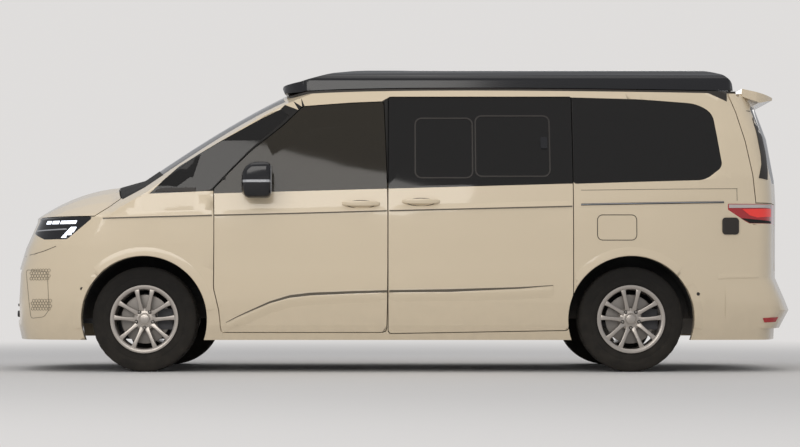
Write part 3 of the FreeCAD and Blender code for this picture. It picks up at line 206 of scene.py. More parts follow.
def block(name, low, high, bevel=0.0, segments=2):
    """A box between two corners with rounded edges, as a start for shaping."""
    deselect()
    size = [b - a for a, b in zip(low, high)]
    centre = [(a + b) / 2 for a, b in zip(low, high)]
    bpy.ops.mesh.primitive_cube_add(size=1, location=centre)
    obj = newest(name)
    obj.scale = size
    applied()
    if bevel:
        bevelled(obj, bevel, segments)
    return obj


def disc(name, centre, radius, depth, axis, count=32, bevel=0.0):
    """A round piece along an axis, its ends bevelled."""
    deselect()
    turn = Vector(axis).to_track_quat("Z", "Y").to_euler()
    bpy.ops.mesh.primitive_cylinder_add(vertices=count, radius=radius, depth=depth, location=centre, rotation=turn)
    obj = newest(name)
    applied()
    if bevel:
        bevelled(obj, bevel)
    return obj


def path(name, points):
    """A line drawn point by point; the object is left in edit mode."""
    deselect()
    bpy.ops.mesh.primitive_plane_add(size=0.01)
    obj = newest(name)
    edit(obj)
    bpy.ops.mesh.merge(type="CENTER")
    bpy.ops.transform.translate(value=points[0])
    for start, end in zip(points, points[1:]):
        step = tuple(b - a for a, b in zip(start, end))
        bpy.ops.mesh.extrude_region_move(TRANSFORM_OT_translate={"value": step})
    return obj


def lathe(name, profile, steps):
    """Turns a profile of (along Y, radius) points about the Y axis."""
    obj = path(name, [(0, y, radius) for y, radius in profile])
    bpy.ops.mesh.select_all(action="SELECT")
    bpy.ops.mesh.spin(steps=steps, angle=2 * math.pi, center=(0, 0, 0), axis=(0, 1, 0))
    bpy.ops.mesh.select_all(action="SELECT")
    bpy.ops.mesh.remove_doubles(threshold=0.00005)
    bpy.ops.mesh.normals_make_consistent(inside=False)
    leave()
    return obj


def joined(name, pieces):
    deselect()
    for piece in pieces:
        piece.select_set(True)
    bpy.context.view_layer.objects.active = pieces[0]
    bpy.ops.object.join()
    return newest(name)


def copied(obj, name):
    twin = obj.copy()
    twin.data = obj.data.copy()
    twin.name = name
    twin.data.name = name
    bpy.context.scene.collection.objects.link(twin)
    return twin


def mirrored(obj, name):
    """A copy of a piece on the right side of the van, its faces turned outwards."""
    twin = copied(obj, name)
    edit(twin)
    bpy.ops.transform.resize(value=(1, -1, 1), center_override=(0, 0, 0))
    bpy.ops.mesh.flip_normals()
    leave()
    return twin


# Shader nodes and shared effects
def added(tree, kind, inputs, **settings):
    """The outputs of a new node; an input takes a link from a socket, or else a plain value."""
    node = tree.nodes.new("ShaderNode" + kind)
    for key, value in settings.items():
        setattr(node, key, value)
    for label, value in inputs.items():
        if isinstance(value, bpy.types.NodeSocket):
            tree.links.new(value, node.inputs[label])
        else:
            node.inputs[label].default_value = value
    return node.outputs


def object_place(tree):
    return added(tree, "TexCoord", {})["Object"]


def worked_out(tree, operation, *values):
    return added(tree, "Math", dict(enumerate(values)), operation=operation)["Value"]


def mixed(tree, share, first, second):
    """A colour that goes from the first to the second with a share."""
    return added(tree, "Mix", {"Factor": share, "A": first, "B": second}, data_type="RGBA")["Result"]


def node_group(name, inputs, outputs):
    """An empty group, the sockets that feed it and the sockets that it feeds."""
    group = bpy.data.node_groups.new(name, "ShaderNodeTree")
    for label, value in inputs.items():
        kind = "NodeSocketColor" if isinstance(value, tuple) else "NodeSocketFloat"
        group.interface.new_socket(label, in_out="INPUT", socket_type=kind).default_value = value
    for label, kind in outputs.items():
        group.interface.new_socket(label, in_out="OUTPUT", socket_type="NodeSocket" + kind)
    return group, group.nodes.new("NodeGroupInput").outputs, group.nodes.new("NodeGroupOutput").inputs


GREY = (0.5, 0.5, 0.5, 1)
DUST_COLOR = (0.3, 0.25, 0.19, 1)
GRAIN_RELIEF = 0.0006
WEAVE_RELIEF = 0.0008


def mottle_group():
    """Slow and fine variation of a colour and its roughness over a surface."""
    group, start, end = node_group(
        "surface mottle", {"Color": GREY, "Dark": 0.9, "Scale": 8.0, "Roughness": 0.5, "Spread": 0.1},
        {"Color": "Color", "Roughness": "Float"})
    noise = added(group, "TexNoise", {"Vector": object_place(group), "Scale": start["Scale"], "Detail": 6})["Fac"]
    darker = added(group, "VectorMath", {0: start["Color"], "Scale": start["Dark"]}, operation="SCALE")["Vector"]
    rough = worked_out(group, "MULTIPLY_ADD", noise, start["Spread"], start["Roughness"])
    group.links.new(mixed(group, noise, darker, start["Color"]), end["Color"])
    group.links.new(rough, end["Roughness"])
    return group


def grain_group():
    """A moulded grain as bump, from small cells."""
    group, start, end = node_group("surface grain", {"Scale": 400.0, "Depth": 0.2}, {"Normal": "Vector"})
    cells = added(group, "TexVoronoi", {"Vector": object_place(group), "Scale": start["Scale"]})["Distance"]
    bump = added(group, "Bump", {"Distance": GRAIN_RELIEF, "Strength": start["Depth"], "Height": cells})
    group.links.new(bump["Normal"], end["Normal"])
    return group


def weave_group():
    """Crossing threads along X and Z, as bump and as a shade."""
    group, start, end = node_group("cloth weave", {"Scale": 500.0, "Depth": 0.5},
                                   {"Shade": "Float", "Normal": "Vector"})
    place = object_place(group)
    threads = [added(group, "TexWave", {"Vector": place, "Scale": start["Scale"]}, bands_direction=way)["Fac"]
               for way in ("X", "Z")]
    both = worked_out(group, "MULTIPLY", *threads)
    bump = added(group, "Bump", {"Distance": WEAVE_RELIEF, "Strength": start["Depth"], "Height": both})
    group.links.new(both, end["Shade"])
    group.links.new(bump["Normal"], end["Normal"])
    return group


def dust_group():
    """Road dust that thins out with height above the ground."""
    group, start, end = node_group("road dust", {"Color": GREY, "Top": 0.7, "Amount": 0.3}, {"Color": "Color"})
    place = object_place(group)
    height = added(group, "SeparateXYZ", {"Vector": place})["Z"]
    fade = added(group, "MapRange", {"Value": height, "From Min": 0.0, "From Max": start["Top"], "To Min": 1.0,
                                     "To Max": 0.0})["Result"]
    spots = added(group, "TexNoise", {"Vector": place, "Scale": 14})["Fac"]
    weight = worked_out(group, "MULTIPLY", worked_out(group, "MULTIPLY", fade, spots), start["Amount"])
    group.links.new(mixed(group, weight, start["Color"], DUST_COLOR), end["Color"])
    return group


MOTTLE, GRAIN, WEAVE, DUST = mottle_group(), grain_group(), weave_group(), dust_group()


def finish(name, slot, color, roughness, dark=0.94, spread=0.1, scale=3.0, grain=None, dust=None, weave=None,
           above=None, **sockets):
    """One material: a Principled shader behind the shared effects. The slot argument is not used."""
    material = bpy.data.materials.new(name)
    material.use_nodes = True
    tree = material.node_tree
    shader = tree.nodes["Principled BSDF"].inputs
    mottle = added(tree, "Group", {"Color": (*color, 1), "Dark": dark, "Scale": scale, "Roughness": roughness,
                                   "Spread": spread}, node_tree=MOTTLE)
    tree.links.new(mottle["Roughness"], shader["Roughness"])
    tint = mottle["Color"]
    if grain:
        bump = added(tree, "Group", {"Scale": grain[0], "Depth": grain[1]}, node_tree=GRAIN)
        tree.links.new(bump["Normal"], shader["Normal"])
    if dust:
        tint = added(tree, "Group", {"Color": tint, "Top": dust[0], "Amount": dust[1]}, node_tree=DUST)["Color"]
    if weave:
        threads = added(tree, "Group", {"Scale": weave[0], "Depth": weave[1]}, node_tree=WEAVE)
        tint = mixed(tree, threads["Shade"], tint, (*weave[2], 1))
        tree.links.new(threads["Normal"], shader["Normal"])
    if above:
        tint = above_line(tree, tint, *above)
    tree.links.new(tint, shader["Base Color"])
    for label, value in sockets.items():
        shader[label.replace("_", " ")].default_value = value
    return material


def above_line(tree, tint, start, end, color):
    """Another colour above a line in the side view, such as the frames over the belt."""
    slope = (end[1] - start[1]) / (end[0] - start[0])
    place = added(tree, "SeparateXYZ", {"Vector": object_place(tree)})
    line = worked_out(tree, "MULTIPLY_ADD", place["X"], -slope, place["Z"])
    over = worked_out(tree, "GREATER_THAN", line, start[1] - slope * start[0])
    return mixed(tree, over, tint, (*color, 1))


def along(share):
    """A place along the van from shares of the wheelbase, or of an overhang beyond it."""
    if share < 0:
        return FRONT_WHEEL.x + share * FRONT_OVERHANG
    if share > 1:
        return REAR_WHEEL.x + (share - 1) * REAR_OVERHANG
    return FRONT_WHEEL.x + share * WHEELBASE


def placed(shares):
    return [(along(x), z * ROOF_TOP) for x, z in shares]


WINDOW_BAND = placed([(0.0109, 0.5735), (0.134, 0.5825), (0.5007, 0.5929), (0.8815, 0.6058), (1.4044, 0.6155),
                      (1.4885, 0.6364), (1.5413, 0.669), (1.553, 0.6853), (1.5237, 0.7862), (1.4943, 0.842),
                      (1.4532, 0.859), (1.4004, 0.8724), (1.0659, 0.8872), (0.8843, 0.8926), (0.5254, 0.8922),
                      (0.4217, 0.8862), (0.318, 0.8725), (0.2973, 0.864), (0.2765, 0.8513), (0.2351, 0.8188),
                      (0.1521, 0.7439), (0.0691, 0.6657)])
CREAM = (0.72, 0.605, 0.435)
BLACK = (0.012, 0.012, 0.014)
BELT = ((-1.656, 1.1315), (1.9635, 1.2308))


def paint_finish(name, above=None):
    return finish(name, "paint", CREAM, 0.3, dark=0.985, spread=0.05, scale=1.6, dust=(0.55, 0.35), above=above,
                  Coat_Weight=0.85, Coat_Roughness=0.04, Specular_IOR_Level=0.4)


# Darker copies of the cream paint, used as painted shade
def painted_shade_finish(name, share):
    return finish(name, "paint", tuple(share * part for part in CREAM), 0.45)


def glass_finish(name, slot, color, alpha):
    """Tinted glass: the tint is held as a plain alpha, so that the cabin shows behind it."""
    return finish(name, slot, color, 0.02, spread=0.03, scale=2.0, Specular_IOR_Level=0.4, Alpha=alpha)


PAINT = paint_finish("cream_paint")
DOOR_PAINT = paint_finish("door_paint", (*BELT, BLACK))
# The bumper's cells and recess line are painted in darkened cream as painted shade of their relief
PAINTED_CELL_SHADE = painted_shade_finish("bumper_cell_paint", 0.42)
# Darkened cream painted as the shade under the pressed lines; it also draws the dark bumper seam
PAINTED_SHADE_AND_SEAM = painted_shade_finish("crease_paint", 0.16)
GLOSS_BLACK = finish("gloss_black", "black_gloss", BLACK, 0.1, spread=0.06, Specular_IOR_Level=0.45)
DARK_TRIM = finish("dark_brown_trim", "brown_trim", (0.022, 0.017, 0.013), 0.42, spread=0.15, grain=(900, 0.15))
MATT_BLACK = finish("matt_black_moulding", "black_matte", (0.013, 0.012, 0.011), 0.62, spread=0.15,
                    grain=(700, 0.35), dust=(0.4, 0.5), Specular_IOR_Level=0.3)
UNDERSEAL = finish("underbody_black", "frame_metal", (0.03, 0.03, 0.031), 0.75, dark=0.7, spread=0.2,
                   grain=(160, 0.5), dust=(0.5, 0.9))
CASTING = finish("cast_metal", "axle_steel", (0.1, 0.1, 0.105), 0.55, dark=0.7, spread=0.2, grain=(260, 0.35),
                 Metallic=0.7)
STEEL = finish("plain_steel", "steel", (0.27, 0.25, 0.23), 0.34, dark=0.8, spread=0.2, scale=20, Metallic=1.0)
CHROME = finish("bright_strip", "steel", (0.62, 0.62, 0.63), 0.12, Metallic=1.0)
ALLOY = finish("silver_alloy", "alloy", (0.47, 0.43, 0.39), 0.3, scale=12, dust=(0.7, 0.25),
               Metallic=0.85, Coat_Weight=0.4)
RUBBER = finish("tyre_rubber", "tyre", (0.012, 0.011, 0.01), 0.78, dark=0.7, spread=0.2, scale=30,
                grain=(500, 0.3), dust=(0.7, 0.12), Specular_IOR_Level=0.3)
PLASTIC = finish("dash_plastic", "dash_plastic", (0.03, 0.03, 0.032), 0.55, grain=(900, 0.3))
WOOD = finish("cabinet_laminate", "cabinet", (0.38, 0.3, 0.22), 0.45, dark=0.75, scale=9)
SEAT_CLOTH = finish("seat_cloth", "seat_cloth", (0.16, 0.15, 0.145), 0.85,
                    weave=(420, 0.6, (0.09, 0.09, 0.09)), Sheen_Weight=0.3)
TENT_CLOTH = finish("tent_cloth", "bellows_cloth", (0.33, 0.32, 0.3), 0.85,
                    weave=(380, 0.6, (0.24, 0.23, 0.22)), Sheen_Weight=0.2)
RED_LENS = finish("red_lens", "lamp_red", (0.42, 0.008, 0.012), 0.08, spread=0.03, Coat_Weight=0.8,
                  Coat_Roughness=0.02)
LAMP_GLOW = finish("lamp_red_facet", "lamp_red", (0.72, 0.03, 0.02), 0.12, spread=0.03, Coat_Weight=0.6,
                   Emission_Color=(0.8, 0.03, 0.02, 1), Emission_Strength=0.25)
LAMP_WHITE = finish("lamp_white", "lamp_clear", (0.85, 0.88, 0.95), 0.15, spread=0.02,
                    Emission_Color=(0.85, 0.9, 1.0, 1), Emission_Strength=1.6)
LAMP_PALE = finish("lamp_pale_strip", "lamp_clear", (0.55, 0.5, 0.48), 0.12, spread=0.03, Coat_Weight=0.6)
PRIVACY_GLASS = glass_finish("privacy_glass", "dark_glass", (0.009, 0.008, 0.007), 0.93)
DOOR_GLASS = glass_finish("door_glass", "dark_glass", (0.026, 0.021, 0.013), 0.9)
SCREEN_GLASS = glass_finish("windscreen_glass", "clear_glass", (0.014, 0.013, 0.012), 0.8)

NODE_FINISH = {
    "body_side_left": DOOR_PAINT, "body_side_right": DOOR_PAINT, "roof_panel": PAINT, "floor_pan": UNDERSEAL,
    "wheel_houses": UNDERSEAL, "front_bulkhead": UNDERSEAL, "bonnet": PAINT, "cowl_panel": MATT_BLACK,
    "windscreen": SCREEN_GLASS, "front_bumper": PAINT, "grille": MATT_BLACK, "headlamps": GLOSS_BLACK,
    "tail_lamps": RED_LENS, "rear_bumper": PAINT, "tailgate": PAINT, "tailgate_glass": PRIVACY_GLASS,
    "side_glass": PRIVACY_GLASS, "pop_roof": GLOSS_BLACK, "roof_gutter": DARK_TRIM, "roof_bellows": TENT_CLOTH,
    "front_subframe": CASTING, "rear_axle": CASTING, "engine_block": CASTING, "tank_and_silencer": STEEL,
    "dashboard": PLASTIC, "seats": SEAT_CLOTH, "seat_bases": MATT_BLACK, "kitchen_unit": WOOD,
    "steering_wheel": PLASTIC,
}
for side_name in SIDES:
    for node_start, node_material in (
            ("fender_", PAINT), ("front_door_", DOOR_PAINT), ("front_door_glass_", DOOR_GLASS),
            ("sliding_door_", DOOR_PAINT), ("mirror_", GLOSS_BLACK), ("knuckle_", CASTING), ("tyre_front_", RUBBER),
            ("rim_front_", ALLOY), ("tyre_rear_", RUBBER), ("rim_rear_", ALLOY)):
        NODE_FINISH[node_start + side_name] = node_material
MODELLED_ANEW = ("tyre_", "rim_", "seats", "steering_wheel", "roof_bellows", "mirror_")
SMOOTHED = [node for node in NODE_FINISH if not node.startswith(MODELLED_ANEW)]


def within(point, corners):
    """Whether a side-view point lies inside a drawn outline."""
    inside = False
    for (xa, za), (xb, zb) in zip(corners, corners[1:] + corners[:1]):
        if (za > point[1]) != (zb > point[1]) and point[0] < (xb - xa) * (point[1] - za) / (zb - za) + xa:
            inside = not inside
    return inside


def dress_node(node):
    """A merged and smooth copy of a CAD node stands for it."""
    skin = copied(frame["nodes"][node], node + "_skin")
    for key in [key for key in skin.keys() if key.startswith("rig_")]:
        del skin[key]
    skin.parent = None
    whole(skin, bpy.ops.mesh.remove_doubles, threshold=0.00002)
    finished(skin, NODE_FINISH[node], BODY_OF[node], (node,), angle=24)
    return modifier(skin, "WEIGHTED_NORMAL", keep_sharp=True, weight=60)


for node_name, node_material in NODE_FINISH.items():
    node_object = frame["nodes"][node_name]
    node_object.data.materials.clear()
    node_object.data.materials.append(node_material)
SKINS = {node: dress_node(node) for node in SMOOTHED}

# Black frames behind the fixed side glass
for side_name in SIDES:
    side_skin = SKINS["body_side_" + side_name].data
    side_skin.materials.clear()
    for side_material in (PAINT, MATT_BLACK):
        side_skin.materials.append(side_material)
    for face in side_skin.polygons:
        face.material_index = int(within((face.center.x, face.center.z), WINDOW_BAND))


# Drawing on the panels
def drawn(name, points, closed=True):
    """An outline drawn point by point in the side view, filled when it is closed."""
    obj = path(name, [(x, DRAWING_Y, z) for x, z in points])
    if closed:
        bpy.ops.mesh.select_all(action="SELECT")
        bpy.ops.mesh.edge_face_add()
    leave()
    return obj


def rounded(obj, radius, segments=5):
    """Rounds the corners of a drawn face."""
    whole(obj, bpy.ops.mesh.bevel, offset=radius, segments=segments, affect="VERTICES")
    return obj


def framed(obj, width):
    """Keeps only a rim of a drawn face."""
    edit(obj, "FACE")
    bpy.ops.mesh.inset(thickness=width)
    bpy.ops.mesh.delete(type="FACE")
    leave()
    return obj


def cut_up(obj, step, axes=(0, 2)):
    """Cuts a drawn face into strips so that it can follow a curved panel."""
    for axis in axes:
        places = [vertex.co[axis] for vertex in obj.data.vertices]
        low, high = min(places), max(places)
        count = int((high - low) / step)
        sliced(obj, axis, [low + number * (high - low) / (count + 1) for number in range(1, count + 1)])
    return obj


def laid(obj, node, offset=0.001, axis="y"):
    """Presses a drawn face on a panel; what misses the panel is trimmed away."""
    start = [vertex.co.copy() for vertex in obj.data.vertices]
    modifier(obj, "SHRINKWRAP", target=SKINS[node], wrap_method="PROJECT", wrap_mode="ABOVE_SURFACE", offset=offset,
             use_project_x=axis == "x", use_project_y=axis == "y", use_project_z=axis == "z",
             use_negative_direction=True, use_positive_direction=True)
    missed = [(vertex.co - was).length < 1e-6 for vertex, was in zip(obj.data.vertices, start)]
    if any(missed):
        removed(obj, "vertices", lambda vertex: missed[vertex.index])
    return obj


def plate(obj, thick):
    """Gives a laid face its thickness."""
    return modifier(obj, "SOLIDIFY", thickness=thick, offset=0)


def pressed(strip, node, rows, count, end_share=1.0, inner_y=0.0):
    """Projects rows of points on a panel, moves each row out by its measure and trims what missed the panel."""
    modifier(strip, "SHRINKWRAP", target=SKINS[node], wrap_method="PROJECT", use_project_y=True,
             use_negative_direction=True, use_positive_direction=True)
    for number, (_, proud) in enumerate(rows):
        for at_end, share in ((False, 1.0), (True, end_share if proud > 0 else 1.0)):
            shifted(strip, (0, -share * proud, 0), lambda v: v.index // count == number
                    and (v.index % count in (0, count - 1)) == at_end)
    removed(strip, "vertices", lambda v: not MISSED_Y <= v.co.y <= inner_y)
    whole(strip, bpy.ops.mesh.normals_make_consistent, inside=False)
    if sum(face.normal.y * face.area for face in strip.data.polygons) > 0:
        whole(strip, bpy.ops.mesh.flip_normals)
    on_both_sides(strip, PAINT, BODY_OF[node], angle=50)


SWAGE_STEP = 0.04
SWAGE_END_SHARE = 0.3


def swage(name, line, node, rows):
    """A pressed line in a panel: rows of (height over the line, how far it stands proud)."""
    steps = []
    for (xa, za), (xb, zb) in zip(line, line[1:]):
        count = max(1, int(abs(xb - xa) / SWAGE_STEP))
        steps += [(xa + (xb - xa) * i / count, za + (zb - za) * i / count) for i in range(count)]
    steps.append(line[-1])
    strip = drawn(name, steps, closed=False)
    edit(strip)
    bpy.ops.transform.translate(value=(0, 0, rows[0][0]))
    for (high, _), (low, _) in zip(rows, rows[1:]):
        bpy.ops.mesh.extrude_region_move(TRANSFORM_OT_translate={"value": (0, 0, low - high)})
    leave()
    pressed(strip, node, rows, len(steps), SWAGE_END_SHARE)


def clipped(line, low, high):
    """The part of a line between two places along the van."""
    def height_at(x):
        for (xa, za), (xb, zb) in zip(line, line[1:]):
            if xa <= x <= xb:
                return za + (zb - za) * (x - xa) / (xb - xa)
        return line[0][1] if x < line[0][0] else line[-1][1]
    low, high = max(low, line[0][0]), min(high, line[-1][0])
    return [(low, height_at(low))] + [point for point in line if low < point[0] < high] + [(high, height_at(high))]


# The left side's panels with a pressed line, from their front edge to their rear edge
SIDE_PANELS = (("fender_left", -1.905, -1.205), ("front_door_left", -1.188, -0.083),
               ("sliding_door_left", -0.069, 1.103))
SHOULDER = placed([(-0.3146, 0.4971), (0.1432, 0.5068), (0.3199, 0.5133), (0.5008, 0.5213), (0.881, 0.5358)])
SHOULDER_ROWS = [(0.045, -0.0012), (0.02, 0.0012), (0.004, 0.0045), (0.0, 0.005), (-0.009, 0.001),
                 (-0.013, -0.0012)]
LOWER = placed([(0.1686, 0.1617), (0.193, 0.182), (0.2179, 0.2004), (0.2589, 0.2293), (0.2999, 0.2487),
                (0.3409, 0.2567), (0.4229, 0.2615), (0.5008, 0.2648), (0.628, 0.268), (0.7715, 0.2744),
                (0.8392, 0.2809)])
LOWER_ROWS = [(0.02, -0.0012), (0.006, 0.0004), (0.0, 0.0012), (-0.01, 0.003), (-0.02, 0.0072),
              (-0.034, 0.008), (-0.06, 0.003), (-0.09, -0.0012)]
swage("rear_bumper_crease_left", [(2.04, 0.6), (2.12, 0.607), (2.3, 0.61), (2.36, 0.606)],
      "rear_bumper", SHOULDER_ROWS)

# Rows of (distance from the hub, how far the lip stands proud)
LIP_ROWS = [(0.468, -0.0012), (0.452, 0.0018), (0.425, 0.005), (0.4085, 0.0065), (0.4062, 0.004)]
LIP_POINTS = 33
LIP_INNER_Y = -0.8


def arch_lip(name, hub, start, stop, node):
    """A softly flared lip along a wheel arch, between two angles in degrees."""
    outermost = LIP_ROWS[0][0]
    turns = [math.radians(start + (stop - start) * i / (LIP_POINTS - 1)) for i in range(LIP_POINTS)]
    lip = drawn(name, [(hub.x + outermost * math.cos(turn), TYRE_RADIUS + outermost * math.sin(turn))
                       for turn in turns], closed=False)
    edit(lip)
    for (outer, _), (inner, _) in zip(LIP_ROWS, LIP_ROWS[1:]):
        share = inner / outer
        bpy.ops.mesh.extrude_region_move()
        bpy.ops.transform.resize(value=(share, 1, share), center_override=(hub.x, DRAWING_Y, TYRE_RADIUS))
    leave()
    pressed(lip, node, LIP_ROWS, LIP_POINTS, inner_y=LIP_INNER_Y)


arch_lip("front_arch_lip_left", FRONT_WHEEL, 8, 143, "fender_left")
arch_lip("front_arch_corner_left", FRONT_WHEEL, 147, 188, "front_bumper")
arch_lip("rear_arch_lip_left", REAR_WHEEL, 34, 152, "body_side_left")
arch_lip("rear_arch_corner_left", REAR_WHEEL, -8, 30, "rear_bumper")

# Gap of the fuel flap and the socket cover, on the left side only
flap_gap = rounded(drawn("fuel_flap_gap_left", [(1.262, 1.008), (1.518, 1.008), (1.518, 0.842), (1.262, 0.842)]),
                   0.035)
plate(laid(cut_up(framed(flap_gap, 0.0045), 0.03), "body_side_left", 0.0002), 0.0016)
finished(flap_gap, MATT_BLACK, "root")
cover = rounded(drawn("socket_cover_left", [(2.067, 0.99), (2.176, 0.99), (2.176, 0.881), (2.067, 0.881)]), 0.022)
plate(laid(cut_up(cover, 0.02), "body_side_left", 0.004), 0.008)
bevelled(cover, 0.002)
finished(cover, DARK_TRIM, "root")


def strip_piece(name, node, material, offset, thick, step, points, radius=0.0, frame_width=0.0):
    """A thin plate drawn in the side view and laid on a panel of the left side, with its twin."""
    strip = drawn(name, points)
    if radius:
        rounded(strip, radius)
    if frame_width:
        framed(strip, frame_width)
    plate(laid(cut_up(strip, step), node, offset), thick)
    on_both_sides(strip, material, BODY_OF[node])


def shade_line(name, node, offset, line, drops):
    """A thin dark strip of painted shade under a pressed line, with a depth for each point."""
    low_line = [(x, z - drop) for (x, z), drop in zip(line, drops)]
    strip_piece(name, node, PAINTED_SHADE_AND_SEAM, offset, 0.001, 0.05, line + low_line[::-1])


# The painted shade under the lower line is deepest at one share of a panel's length and thin at the panel's ends
DEEPEST_AT, DEEPEST_DROP = 0.45, 0.019
LOWER_END_DROPS = {"front_door_left": (0.003, 0.014), "sliding_door_left": (0.014, 0.003)}
SHOULDER_DROP = 0.0075


def lower_drop(share, first, last):
    if share < DEEPEST_AT:
        return first + (DEEPEST_DROP - first) * (share / DEEPEST_AT)
    return DEEPEST_DROP + (last - DEEPEST_DROP) * (share - DEEPEST_AT) / (1 - DEEPEST_AT)


# Under each pressed line lies a thin dark strip of painted shade, in darkened cream
for node_name, low_x, high_x in SIDE_PANELS:
    line = clipped(SHOULDER, low_x, high_x)
    swage("shoulder_line_" + node_name, line, node_name, SHOULDER_ROWS)
    shade_line("shoulder_painted_shade_" + node_name, node_name, 0.005, [(x, z - 0.0015) for x, z in line],
               [SHOULDER_DROP] * len(line))
for node_name, low_x, high_x in SIDE_PANELS[1:]:
    line = clipped(LOWER, low_x, high_x)
    swage("lower_line_" + node_name, line, node_name, LOWER_ROWS)
    shares = [(x - line[0][0]) / (line[-1][0] - line[0][0]) for x, _ in line]
    shade_line("lower_painted_shade_" + node_name, node_name, 0.0068, [(x, z - 0.002) for x, z in line],
               [lower_drop(share, *LOWER_END_DROPS[node_name]) for share in shares])

# Rails, seams and trims: what they lie on, their finish, how far out, how thick and how finely cut
SEAM = placed([(-0.8691, 0.3775), (-0.78, 0.383), (-0.7, 0.3925), (-0.6126, 0.4072)])
for strip_values in (
        ("slide_rail_cover_left", "body_side_left", MATT_BLACK, 0.0008, 0.004, 0.05,
         [(1.112, 1.0775), (1.112, 1.0655), (2.08, 1.083), (2.08, 1.095)]),
        ("slide_rail_shine_left", "body_side_left", CHROME, 0.0025, 0.003, 0.05,
         [(1.112, 1.0745), (1.112, 1.0705), (2.08, 1.0885), (2.08, 1.092)]),
        ("rear_side_line_left", "body_side_left", MATT_BLACK, 0.0002, 0.0012, 0.05,
         [(1.112, 1.1655), (1.112, 1.163), (2.17, 1.1755), (2.17, 1.178)]),
        ("rear_quarter_line_left", "body_side_left", MATT_BLACK, 0.0002, 0.0012, 0.05,
         [(2.168, 1.178), (2.1655, 1.178), (2.1655, 1.099), (2.168, 1.099)]),
        ("belt_seal_front_left", "front_door_left", MATT_BLACK, 0.001, 0.004, 0.05,
         [(-1.186, 1.1585), (-1.186, 1.146), (-0.082, 1.176), (-0.082, 1.1885)]),
        ("gate_side_trim_left", "tailgate", DARK_TRIM, 0.001, 0.006, 0.03,
         [(2.255, 1.694), (2.306, 1.69), (2.312, 1.668), (2.3, 1.64), (2.316, 1.56), (2.338, 1.403),
          (2.338, 1.338), (2.314, 1.247), (2.376, 1.238), (2.384, 1.3), (2.38, 1.42), (2.352, 1.56),
          (2.33, 1.65), (2.345, 1.7)]),
        ("rear_reflector_left", "rear_bumper", RED_LENS, 0.002, 0.005, 0.03,
         [(2.335, 0.345), (2.44, 0.352), (2.425, 0.322), (2.345, 0.318)]),
        ("pane_latch_left", "side_glass", GLOSS_BLACK, 0.003, 0.01, 0.05,
         [(0.905, 1.435), (0.905, 1.51), (0.95, 1.51), (0.95, 1.435)], 0.008),
        ("front_bumper_seam_left", "front_bumper", PAINTED_SHADE_AND_SEAM, 0.0008, 0.0012, 0.05,
         SEAM + [(x, z - 0.0045) for x, z in SEAM[::-1]]),
        ("quarter_garnish_left", "side_glass", DARK_TRIM, 0.004, 0.005, 0.04,
         [(-1.606, 1.133), (-1.54, 1.1785), (-1.236, 1.1815), (-1.236, 1.15), (-1.345, 1.143)]),
        ("dipped_light_left", "headlamps", LAMP_WHITE, 0.0035, 0.004, 0.02,
         [(-2.185, 0.862), (-2.122, 0.862), (-2.08, 0.931), (-2.118, 0.931)]),
        ("lamp_blade_left", "headlamps", CHROME, 0.003, 0.006, 0.02,
         [(-2.372, 0.906), (-2.14, 0.914), (-2.15, 0.922), (-2.374, 0.913)]),
        ("tail_strip_left", "tail_lamps", LAMP_PALE, 0.001, 0.004, 0.03,
         [(2.112, 1.074), (2.4, 1.076), (2.4, 1.056), (2.112, 1.052)]),
        ("tail_facet_left", "tail_lamps", LAMP_GLOW, 0.001, 0.004, 0.03,
         [(2.2, 1.044), (2.4, 1.05), (2.4, 1.0), (2.3, 0.992), (2.25, 1.005)]),
        ("tail_foot_left", "tail_lamps", MATT_BLACK, 0.0012, 0.003, 0.03,
         [(2.19, 0.987), (2.4, 0.97), (2.4, 0.956), (2.25, 0.956)])):
    strip_piece(*strip_values)
for number, (x0, x1) in enumerate(((-2.292, -2.262), (-2.248, -2.205), (-2.19, -2.085))):
    strip_piece("day_light_%d_left" % number, "headlamps", LAMP_WHITE, 0.0035, 0.004, 0.02,
                [(x0 - 0.006, 0.952), (x0 + 0.004, 0.972), (x1 + 0.006, 0.972), (x1 - 0.004, 0.952)])

for place_name, x, z in (("front", -2.04, 0.533), ("rear", 1.91, 0.5)):
    sensor = disc("parking_sensor_%s_left" % place_name, (x, DRAWING_Y, z), 0.011, 0.004, (0, 1, 0), 20)
    removed(sensor, "faces", lambda face: face.normal.y > -0.5)
    plate(laid(sensor, place_name + "_bumper", 0.0012), 0.003)
    on_both_sides(sensor, DARK_TRIM, "root")
for number, corners in enumerate((((0.5554, 0.6238), (0.6763, 0.8249)), ((0.6796, 0.6284), (0.8354, 0.8327)))):
    (x0, z0), (x1, z1) = placed(corners)
    strip_piece("pane_frame_%d_left" % number, "side_glass", DARK_TRIM, 0.0008, 0.003, 0.03,
                [(x0, z0), (x0, z1), (x1, z1), (x1, z0)], 0.045, 0.009)


# Tailgate: grip recess and wiper
def gate_piece(name, node, material, offset, thick, points, radius=0.0, step=0.05):
    """A plate laid on the tailgate, its outline drawn as (across, up) and turned to stand behind the van."""
    piece = drawn(name, points)
    turned(piece, -math.pi / 2, "Z")
    moved(piece, (BEHIND_X + DRAWING_Y, 0, 0))
    if radius:
        rounded(piece, radius)
    plate(laid(cut_up(piece, step), node, offset, "x"), thick)
    finished(piece, material, "tailgate")


gate_piece("gate_grip_recess", "tailgate", MATT_BLACK, 0.0005, 0.003,
           [(-0.2, 0.93), (-0.19, 0.965), (0.19, 0.965), (0.2, 0.93)], radius=0.01)
gate_piece("rear_wiper_arm", "tailgate_glass", MATT_BLACK, 0.012, 0.01,
           [(-0.016, 1.13), (-0.009, 1.47), (0.009, 1.47), (0.016, 1.13)])
gate_piece("rear_wiper_blade", "tailgate_glass", RUBBER, 0.006, 0.008,
           [(-0.14, 1.452), (-0.14, 1.466), (0.14, 1.466), (0.14, 1.452)], step=0.03)


